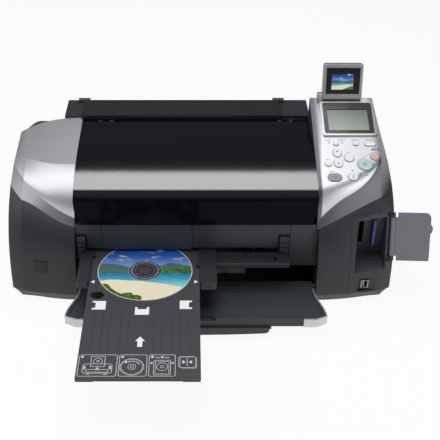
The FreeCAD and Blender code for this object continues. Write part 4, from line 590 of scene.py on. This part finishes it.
def finishPiece(name, bm, finish, body, place=None):
    # every new piece comes through here: placed, faced outwards, finished and riding on a body
    if place:
        bmesh.ops.transform(bm, matrix=place, verts=bm.verts)
    bmesh.ops.recalc_face_normals(bm, faces=bm.faces)
    mesh = bpy.data.meshes.new(name)
    bm.to_mesh(mesh)
    bm.free()
    mesh.materials.append(finishes[finish].material)
    piece = bpy.data.objects.new(name, mesh)
    bpy.context.scene.collection.objects.link(piece)
    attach(piece, body)


def raiseFaces(bm, faces, height):
    raised = bmesh.ops.extrude_face_region(bm, geom=faces)["geom"]
    top = [v for v in raised if isinstance(v, bmesh.types.BMVert)]
    bmesh.ops.translate(bm, verts=top, vec=(0, 0, height * mm))


def addPlaque(bm, corners, low, high):
    # flat outline, in millimetres, raised from low to high
    face = bm.faces.new([bm.verts.new((x * mm, y * mm, low * mm)) for x, y in corners])
    raiseFaces(bm, [face], high - low)


def addBar(bm, x, y, halfWide, halfTall, low, high):
    addPlaque(bm, [(x - halfWide, y - halfTall), (x + halfWide, y - halfTall),
                   (x + halfWide, y + halfTall), (x - halfWide, y + halfTall)], low, high)


def edgesAt(verts):
    # each edge once and in a fixed order, which a set would not keep from run to run
    return list(dict.fromkeys(edge for v in verts for edge in v.link_edges))


def roundOutline(bm, x, y, halfWide, halfTall, corner, low):
    # ring of edges of a rounded rectangle: a circle whose quarters are moved apart
    circle = bmesh.ops.create_circle(bm, segments=32, radius=corner * mm)["verts"]
    for v in circle:
        v.co.x += math.copysign((halfWide - corner) * mm, v.co.x)
        v.co.y += math.copysign((halfTall - corner) * mm, v.co.y)
    bmesh.ops.translate(bm, verts=circle, vec=(x * mm, y * mm, low * mm))
    return edgesAt(circle)


def addRoundFrame(bm, x, y, halfWide, halfTall, corner, low, high, width):
    # rounded rectangular line, or a round one where the corner is the half width
    corner = min(corner, halfWide, halfTall)
    inner = max(corner - width, 0.05)
    outerEdges = roundOutline(bm, x, y, halfWide, halfTall, corner, low)
    innerEdges = roundOutline(bm, x, y, halfWide - width, halfTall - width, inner, low)
    faces = bmesh.ops.bridge_loops(bm, edges=outerEdges + innerEdges)["faces"]
    raiseFaces(bm, faces, high - low)


def addRoundPlaque(bm, x, y, halfWide, halfTall, corner, low, high):
    corner = min(corner, halfWide, halfTall)
    edges = roundOutline(bm, x, y, halfWide, halfTall, corner, low)
    faces = bmesh.ops.contextual_create(bm, geom=edges)["faces"]
    raiseFaces(bm, faces, high - low)


def addArc(bm, x, y, radius, low, high, width, start=0.0, sweep=360.0, steps=40):
    # part of a round line, spun from its section
    turn = Matrix.Rotation(math.radians(start), 3, "Z")
    centre = Vector((x * mm, y * mm, 0))
    section = [bm.verts.new(centre + turn @ Vector((r * mm, 0, z * mm)))
               for r, z in ((radius - width, low), (radius, low), (radius, high),
                            (radius - width, high))]
    face = bm.faces.new(section)
    full = sweep >= 360.0
    geom = section + face.edges[:] if full else section + face.edges[:] + [face]
    if full:
        bm.faces.remove(face)
    bmesh.ops.spin(bm, geom=geom, cent=centre, axis=(0, 0, 1), dvec=(0, 0, 0),
                   angle=math.radians(sweep), steps=steps, use_merge=full)


def drawMarks(bm, spec, x, y, low, high, line):
    # a pictogram in millimetres round x, y: rounded frames, round lines, bars and filled outlines,
    # each line as wide as its own share of the given one
    for dx, dy, halfWide, halfTall, corner, share in spec.get("frames", ()):
        addRoundFrame(bm, x + dx, y + dy, halfWide, halfTall, corner, low, high, line * share)
    for dx, dy, radius, share, start, sweep, steps in spec.get("arcs", ()):
        addArc(bm, x + dx, y + dy, radius, low, high, line * share, start, sweep, steps)
    for dx, dy, halfWide, halfTall in spec.get("bars", ()):
        addBar(bm, x + dx, y + dy, halfWide, halfTall, low, high)
    for outline in spec.get("outlines", ()):
        addPlaque(bm, [(x + dx, y + dy) for dx, dy in outline], low, high)


trayPrint = {"low": 68.0, "high": 68.08}
discTrayMarks = {
    "middle": -71.6,
    "triangle": ((2.6, 0), (-2.2, 3.4), (-2.2, -3.4)), "triangleOut": 64.4, "triangleY": -160.2,
    "topNotch": ((-1, -1), (1, -1), (1, 1), (0.7, 1), (0.6, 0.45), (-0.6, 0.45), (-0.7, 1), (-1, 1)),
    "sideNotch": ((-1, -1), (1, -1), (1, -0.7), (0.5, -0.55), (0.5, 0.55), (1, 0.7), (1, 1), (-1, 1)),
    "tabs": ((-124.3, -205.8, 8.2, 8.0, -1), (-72.0, -216.4, 8.4, 7.0, 0), (-19.7, -205.0, 7.4, 7.8, 1)),
    "arrow": {"x": -71.9, "tail": -279.6, "tip": -262.2, "half": 5.6, "head": 7.5},
}


def makeDiscTrayMarks(spec):
    # two triangles beside the disc, three notched tabs (left, top, right) and the arrow to the slot
    low, high = trayPrint["low"], trayPrint["high"]
    bm = bmesh.new()
    for side in (-1, 1):
        x = spec["middle"] + side * spec["triangleOut"]
        addPlaque(bm, [(x + side * dx, spec["triangleY"] + dy) for dx, dy in spec["triangle"]],
                  low, high)
    for x, y, w, h, side in spec["tabs"]:
        shape, flip = (spec["sideNotch"], side) if side else (spec["topNotch"], 1)
        addPlaque(bm, [(x + flip * px * w, y + py * h) for px, py in shape], low, high)
    arrow = spec["arrow"]
    x, half, neck = arrow["x"], arrow["half"], arrow["tip"] - arrow["head"]
    addPlaque(bm, [(x - half / 2, arrow["tail"]), (x + half / 2, arrow["tail"]), (x + half / 2, neck),
                   (x + half, neck), (x, arrow["tip"]), (x - half, neck), (x - half / 2, neck)],
              low, high)
    finishPiece("discTrayMarks", bm, "white print", "disc_tray")


# four plain how-to panels, from the left: a tray going into its slot, a disc to be turned, a disc
# on its tray and a place to push
discTrayPanels = {
    "line": 0.62, "corner": 2.4, "y": -309.7, "halfTall": 17.3, "dotIn": 3.6, "dot": 1.7,
    "loading": {
        "x": -117.1, "half": 21.5,
        "frames": ((0, -5.0, 16.5, 7.6, 3.4, 1), (0, -8.6, 12.4, 2.4, 0.8, 1), (0, 6.2, 8.0, 8.4, 0.8, 1)),
        "arcs": ((0, 6.6, 5.2, 1, 0, 360, 40), (0, 6.6, 1.6, 1, 0, 360, 20)),
        "bars": ((-14.0, -3.4, 1.0, 2.6), (-9.4, -13.8, 1.9, 0.4),
                 (14.0, -3.4, 1.0, 2.6), (9.4, -13.8, 1.9, 0.4)),
        "outlines": (((3.0, -7.4), (0, -2.6), (-3.0, -7.4)),),
    },
    "turning": {
        "x": -78.0, "half": 15.6,
        "arcs": ((-1.0, -2.2, 13.4, 0.8, 0, 360, 40), (-1.0, -2.2, 12.2, 0.8, 0, 360, 40),
                 (-1.0, -2.2, 4.6, 0.8, 0, 360, 40), (-1.0, -2.2, 2.2, 0.8, 0, 360, 40),
                 (-1.0, -2.2, 9.4, 1.6, 25, 100, 16)),
        "outlines": (((-7.6, 8.6), (-6.4, 3.4), (-11.4, 4.8)),),
    },
    "seating": {
        "x": -45.6, "half": 14.8,
        "frames": ((0, -3.4, 9.6, 11.8, 1.2, 1), (0, -3.4, 7.6, 9.8, 0.8, 0.7)),
        "arcs": ((0, -2.0, 6.4, 1, 0, 360, 40), (0, -2.0, 2.2, 1, 0, 360, 24)),
        "bars": ((-5.2, 12.4, 2.6, 0.5), (5.2, 12.4, 2.6, 0.5)),
        "outlines": (((-12.6, 1.6), (-10.0, 3.8), (-12.6, 6.0)), ((12.6, 1.6), (10.0, 3.8), (12.6, 6.0)),
                     ((-2.2, 14.4), (0, 11.0), (2.2, 14.4))),
    },
    "pushing": {
        "x": -17.9, "y": -304.3,
        "frames": ((0, 0, 9.7, 9.1, 3.0, 1), (1.3, -1.1, 9.5, 9.1, 3.0, 0.6)),
        "bars": ((0, 0, 0.35, 6.0),),
        "outlines": (((-1.4, 0), (-5.4, 2.8), (-5.4, -2.8)), ((1.4, 0), (5.4, 2.8), (5.4, -2.8))),
    },
}


def makeDiscTrayPanels(spec):
    low, high, line = trayPrint["low"], trayPrint["high"], spec["line"]
    y, tall = spec["y"], spec["halfTall"]
    dotIn, dot = spec["dotIn"], spec["dot"]
    bm = bmesh.new()
    for name in ("loading", "turning", "seating"):
        x, half = spec[name]["x"], spec[name]["half"]
        addRoundFrame(bm, x, y, half, tall, spec["corner"], low, high, line)
        addRoundPlaque(bm, x - half + dotIn, y + tall - dotIn, dot, dot, dot, low, high)
        drawMarks(bm, spec[name], x, y, low, high, line)
    pushing = spec["pushing"]
    drawMarks(bm, pushing, pushing["x"], pushing["y"], low, high, line)
    finishPiece("discTrayPanels", bm, "line print", "disc_tray")


makeDiscTrayMarks(discTrayMarks)
makeDiscTrayPanels(discTrayPanels)
print("disc tray prints are on")

discHub = {
    "x": -71.6, "y": -137.0, "low": 68.1, "high": 68.15, "rings": ((21.6, 0.5), (15.6, 0.4), (12.4, 0.3)),
    "ticks": {"radius": 18.4, "width": 1.5, "count": 40, "gaps": (3, 13, 14, 27, 28, 39), "sweep": 5.0},
}


def makeDiscHub(spec):
    # moulded rings of the clear hub, and the row of plain ticks round it
    x, y, low, high, ticks = spec["x"], spec["y"], spec["low"], spec["high"], spec["ticks"]
    bm = bmesh.new()
    for radius, width in spec["rings"]:
        addArc(bm, x, y, radius, low, high, width, steps=72)
    for number in range(ticks["count"]):
        if number not in ticks["gaps"]:
            addArc(bm, x, y, ticks["radius"], low, high, ticks["width"],
                   number * 360 / ticks["count"], ticks["sweep"], 2)
    finishPiece("discHubRings", bm, "hub print", "disc")


makeDiscHub(discHub)
print("disc hub is in")

panelSlope = {"foot": (0, -0.066, 0.164), "lean": math.radians(22.25)}
panelPlace = Matrix.Translation(panelSlope["foot"]) @ Matrix.Rotation(panelSlope["lean"], 4, "X")

# in millimetres on the sloping panel: x as in the frame, y up the slope; "printed" and each depth
# are a print's foot and top, over the surface
panelMarks = {
    "printed": (-0.2, 0.05), "line": 0.42, "margin": 0.95,
    "strips": (150, 240, 2), "deepest": 6.0, "above": 10.0,
    "buttons": ((175.7, 52.6, 3.2, 2.4), (201.8, 52.6, 3.2, 2.4), (220.1, 51.8, 6.8, 2.6),
                (176.1, 38.2, 5.2, 7.0), (176.1, 21.6, 5.2, 7.0), (190.6, 29.6, 6.0, 6.0),
                (163.1, 20.4, 4.2, 4.2), (169.5, -1.6, 8.6, 6.2), (193.0, -0.8, 6.2, 4.8)),
    "start": (210.4, 18.6, 8.8), "stop": (223.8, 31.2, 5.2), "loopOut": 2.2,
    "pills": ((226.5, 43.5, 5.4, 1.5), (206.4, 4.2, 5.4, 1.6)), "pillDepth": (-0.3, 0.04),
    "pillWords": (0.3, 0.22, 0.38), "pillWordDepth": (0.0, 0.1),
    "lamps": ((167.4, 55.1), (183.9, 55.1), (192.8, 9.2)),
    "lamp": (1.3, 0.7, 0.4), "lampDepth": (-0.4, 0.15),
    "labels": ((165.6, 59.6, (1.6, 0.9, 2.2, 1.3)), (183.4, 59.6, (2.2, 1.2, 0.8, 1.8, 1.4)),
               (201.0, 59.6, (1.4, 2.4, 1.0, 1.6)), (219.4, 59.6, (2.0, 1.2, 1.8, 0.8, 2.6)),
               (190.6, 38.4, (1.6, 1.2)), (162.6, 27.2, (1.4, 1.8, 1.2)), (166.4, 7.6, (1.8, 1.2, 2.0))),
}


def addLoopAround(bm, circles, low, high, width):
    # line around round buttons that stand together, as a band stretched over both
    rings, steps = [], 48
    angles = [math.radians(360 * i / steps) for i in range(steps)]
    for grow in (0.0, -width):
        points = [Vector((x + (r + grow) * math.cos(a), y + (r + grow) * math.sin(a)))
                  for x, y, r in circles for a in angles]
        verts = [bm.verts.new((points[i].x * mm, points[i].y * mm, low * mm))
                 for i in convex_hull_2d(points)]
        rings += [bm.edges.new((verts[i - 1], verts[i])) for i in range(len(verts))]
    faces = bmesh.ops.bridge_loops(bm, edges=rings)["faces"]
    raiseFaces(bm, faces, high - low)


def addLabel(bm, x, y, words, low, high):
    # row of plain dashes in the place of a caption
    gap, tall = 0.5, 0.5
    left = x - (sum(words) + gap * (len(words) - 1)) / 2
    for word in words:
        addBar(bm, left + word / 2, y, word / 2, tall, low, high)
        left += word + gap


def layOnPanel(bm, spec):
    # cuts flat prints into strips and drops them on the moulding, which falls away at the right
    housing = nodes["control_panel_housing"]
    outward = panelPlace.to_3x3() @ Vector((0, 0, 1))
    for x in range(*spec["strips"]):
        bmesh.ops.bisect_plane(bm, geom=bm.verts[:] + bm.edges[:] + bm.faces[:],
                               plane_co=(x * mm, 0, 0), plane_no=(1, 0, 0))
    for v in bm.verts:
        flat = panelPlace @ Vector((v.co.x, v.co.y, 0))
        found, spot = housing.ray_cast(flat + outward * spec["above"] * mm, -outward)[:2]
        drop = (spot - flat).dot(outward) if found else 0.0
        if drop > -spec["deepest"] * mm:
            v.co.z += drop


def finishPrint(name, bm, finish, spec):
    layOnPanel(bm, spec)
    finishPiece(name, bm, finish, "printer", panelPlace)


def makePanelMarks(spec):
    (low, high), line, margin = spec["printed"], spec["line"], spec["margin"]
    roundButtons = (spec["start"], spec["stop"])
    bm = bmesh.new()
    for x, y, w, h in spec["buttons"]:
        addRoundFrame(bm, x, y, w + margin, h + margin, min(w, h) + margin, low, high, line)
    for x, y, r in roundButtons:
        addArc(bm, x, y, r + margin, low, high, line)
    addLoopAround(bm, [(x, y, r + spec["loopOut"]) for x, y, r in roundButtons], low, high, line)
    finishPrint("buttonOutlines", bm, "outline print", spec)
    bm = bmesh.new()
    for x, y, words in spec["labels"]:
        addLabel(bm, x, y, words, low, high)
    finishPrint("panelCaptions", bm, "caption print", spec)
    bm = bmesh.new()
    for x, y, w, h in spec["pills"]:
        addRoundPlaque(bm, x, y, w, h, h, *spec["pillDepth"])
    finishPrint("pillLabels", bm, "pill print", spec)
    bm = bmesh.new()
    for x, y, w, h in spec["pills"]:
        addLabel(bm, x, y, [w * share for share in spec["pillWords"]], *spec["pillWordDepth"])
    finishPrint("pillDashes", bm, "line print", spec)
    bm = bmesh.new()
    for x, y in spec["lamps"]:
        addRoundPlaque(bm, x, y, *spec["lamp"], *spec["lampDepth"])
    finishPrint("panelLamps", bm, "lamp", spec)


makePanelMarks(panelMarks)

# the marks on the caps, each round its own centre on the panel
buttonMarks = {"low": 1.3, "high": 1.36, "line": 0.45, "marks": {
    "upArrow": {"on": "up_button", "finish": "caption print", "x": 176.1, "y": 40.2,
                "outlines": (((-1.8, -1), (1.8, -1), (0, 1.4)),)},
    "downArrow": {"on": "down_button", "finish": "caption print", "x": 176.1, "y": 19.6,
                  "outlines": (((-1.8, 1), (1.8, 1), (0, -1.4)),)},
    "startMark": {"on": "start_button", "finish": "start print", "x": 210.4, "y": 18.6,
                  "bars": ((-3.0, 0, 0.4, 3.0),),
                  "outlines": (((-1.8, -3.0), (3.0, 0), (-1.8, 3.0)),)},
    "stopMark": {"on": "stop_button", "finish": "stop print", "x": 223.8, "y": 31.2,
                 "frames": ((0, 0, 2.1, 2.1, 0.5, 1),)},
    "powerMark": {"on": "power_button", "finish": "caption print", "x": 169.5, "y": -1.6,
                  "arcs": ((0, 0, 2.4, 1, 120, 300, 30),), "bars": ((0, 1.9, 0.25, 1.3),)},
    "inkDropMark": {"on": "maintenance_button", "finish": "caption print", "x": 193.0, "y": -1.4,
                    "arcs": ((0, 0, 1.5, 1, 140, 260, 20),),
                    "outlines": (((-1.3, 1.0), (-0.9, 0.9), (0, 2.8), (0, 3.6)),
                                 ((1.3, 1.0), (0.9, 0.9), (0, 2.8), (0, 3.6)))},
}}


def makeButtonMarks(spec):
    for name, mark in spec["marks"].items():
        bm = bmesh.new()
        drawMarks(bm, mark, mark["x"], mark["y"], spec["low"], spec["high"], spec["line"])
        finishPiece(name, bm, mark["finish"], mark["on"], panelPlace)


makeButtonMarks(buttonMarks)
print("panel marks are on")

sidePlate = {"x": -208.5, "z": 55.5, "halfWide": 8.6, "halfTall": 8.2, "corner": 0.8,
             "sunk": 0.6, "thick": 0.6, "rayFrom": -400.0}


def makeSidePlate(spec):
    # bare plate on the left casing, laid on the moulding where a ray from the front meets it
    casing = nodes["left_side_casing"]
    start = Vector((spec["x"], spec["rayFrom"], spec["z"])) * mm
    spot, normal = casing.ray_cast(start, Vector((0, 1, 0)))[1:3]
    facing = normal.to_track_quat("Z", "Y").to_matrix().to_4x4()
    bm = bmesh.new()
    addRoundPlaque(bm, 0, 0, spec["halfWide"], spec["halfTall"], spec["corner"],
                   -spec["sunk"], spec["thick"])
    finishPiece("sidePlate", bm, "plate", "printer",
                Matrix.Translation(spot) @ facing)


makeSidePlate(sidePlate)
print("side plate is on")

rearScrews = {
    "back": 123.0, "radius": 3.2, "rise": 1.7, "taper": 0.82, "rimEdge": 1.0, "rounding": 0.25,
    "slot": {"half": 1.7, "width": 0.7, "deep": 0.6, "under": 0.26},
    "spots": ((-176.0, 28.0), (-176.0, 128.0), (139.0, 28.0), (139.0, 128.0), (-60.0, 28.0)),
}


def makeRearScrews(spec):
    # pan heads that hold the rear casing, with painted shade where the cross recess is
    r, rise, slot = spec["radius"] * mm, spec["rise"] * mm, spec["slot"]
    heads, slots = bmesh.new(), bmesh.new()
    for x, z in spec["spots"]:
        turn = Matrix.Rotation(math.radians(-90), 4, "X")
        place = Matrix.Translation((x * mm, spec["back"] * mm, z * mm)) @ turn
        head = bmesh.ops.create_cone(heads, cap_ends=True, segments=24, radius1=r,
                                     radius2=r * spec["taper"], depth=rise,
                                     matrix=place @ Matrix.Translation((0, 0, rise / 2)))["verts"]
        # the edges of both rims, which are shorter than those up the side
        rims = [edge for edge in edgesAt(head) if edge.calc_length() < spec["rimEdge"] * mm]
        bmesh.ops.bevel(heads, geom=rims, offset=spec["rounding"] * mm, segments=2,
                        profile=0.5, affect="EDGES", material=-1)
        # painted shade: two crossed dark boxes, just proud of each head, stand for the shaded cross recess
        middle = Matrix.Translation((0, 0, rise - slot["under"] * mm))
        for wide, tall in ((2 * slot["half"], slot["width"]), (slot["width"], 2 * slot["half"])):
            arm = Matrix.Diagonal((wide * mm, tall * mm, slot["deep"] * mm, 1))
            bmesh.ops.create_cube(slots, size=1.0, matrix=place @ middle @ arm)
    finishPiece("rearScrews", heads, "screw", "printer")
    finishPiece("rearScrewRecessShade", slots, "inner", "printer")


makeRearScrews(rearScrews)

encoderStrip = {"left": -184.0, "right": 176.0, "y": 15.4, "thick": 0.25, "low": 103.0, "high": 108.0}


def makeEncoderStrip(spec):
    # thin bar behind the carriage, along its travel
    bm = bmesh.new()
    addBar(bm, (spec["left"] + spec["right"]) / 2, spec["y"] + spec["thick"] / 2,
           (spec["right"] - spec["left"]) / 2, spec["thick"] / 2, spec["low"], spec["high"])
    finishPiece("encoderStrip", bm, "line print", "printer")


makeEncoderStrip(encoderStrip)
print("rear screws and the encoder strip are in")


def makeFloor(setup):
    bm = bmesh.new()
    bmesh.ops.create_grid(bm, x_segments=1, y_segments=1, size=setup["floorReach"])
    bmesh.ops.translate(bm, verts=bm.verts, vec=(0, 0, setup["floorHeight"]))
    mesh = bpy.data.meshes.new("studioFloor")
    bm.to_mesh(mesh)
    bm.free()
    floor = bpy.data.objects.new("studioFloor", mesh)
    bpy.context.scene.collection.objects.link(floor)
    paint = Paint("floorPaper", setup["floorColor"], 0.9)
    seen = sum(paint.add("LightPath", {}, {}, ray) for ray in
               ("Is Camera Ray", "Is Glossy Ray", "Is Transmission Ray"))
    glow = paint.add("Emission", {}, {"Color": (1, 1, 1), "Strength": 1.0})
    shaders = paint.add("MixShader", {}, {0: seen.clamped() * setup["floorGlow"],
                                          1: paint.surface, 2: glow})
    paint.tree.links.new(shaders.socket, paint.tree.nodes["Material Output"].inputs["Surface"])
    mesh.materials.append(paint.material)


def makeWorld(strength):
    world = bpy.data.worlds.new("studioWorld")
    world.use_nodes = True
    background = world.node_tree.nodes["Background"]
    background.inputs["Color"].default_value = (1, 1, 1, 1)
    background.inputs["Strength"].default_value = strength
    bpy.context.scene.world = world


makeFloor(lightSetup)
makeWorld(lightSetup["world"])
print("floor and world are set")

bpy.context.view_layer.update()
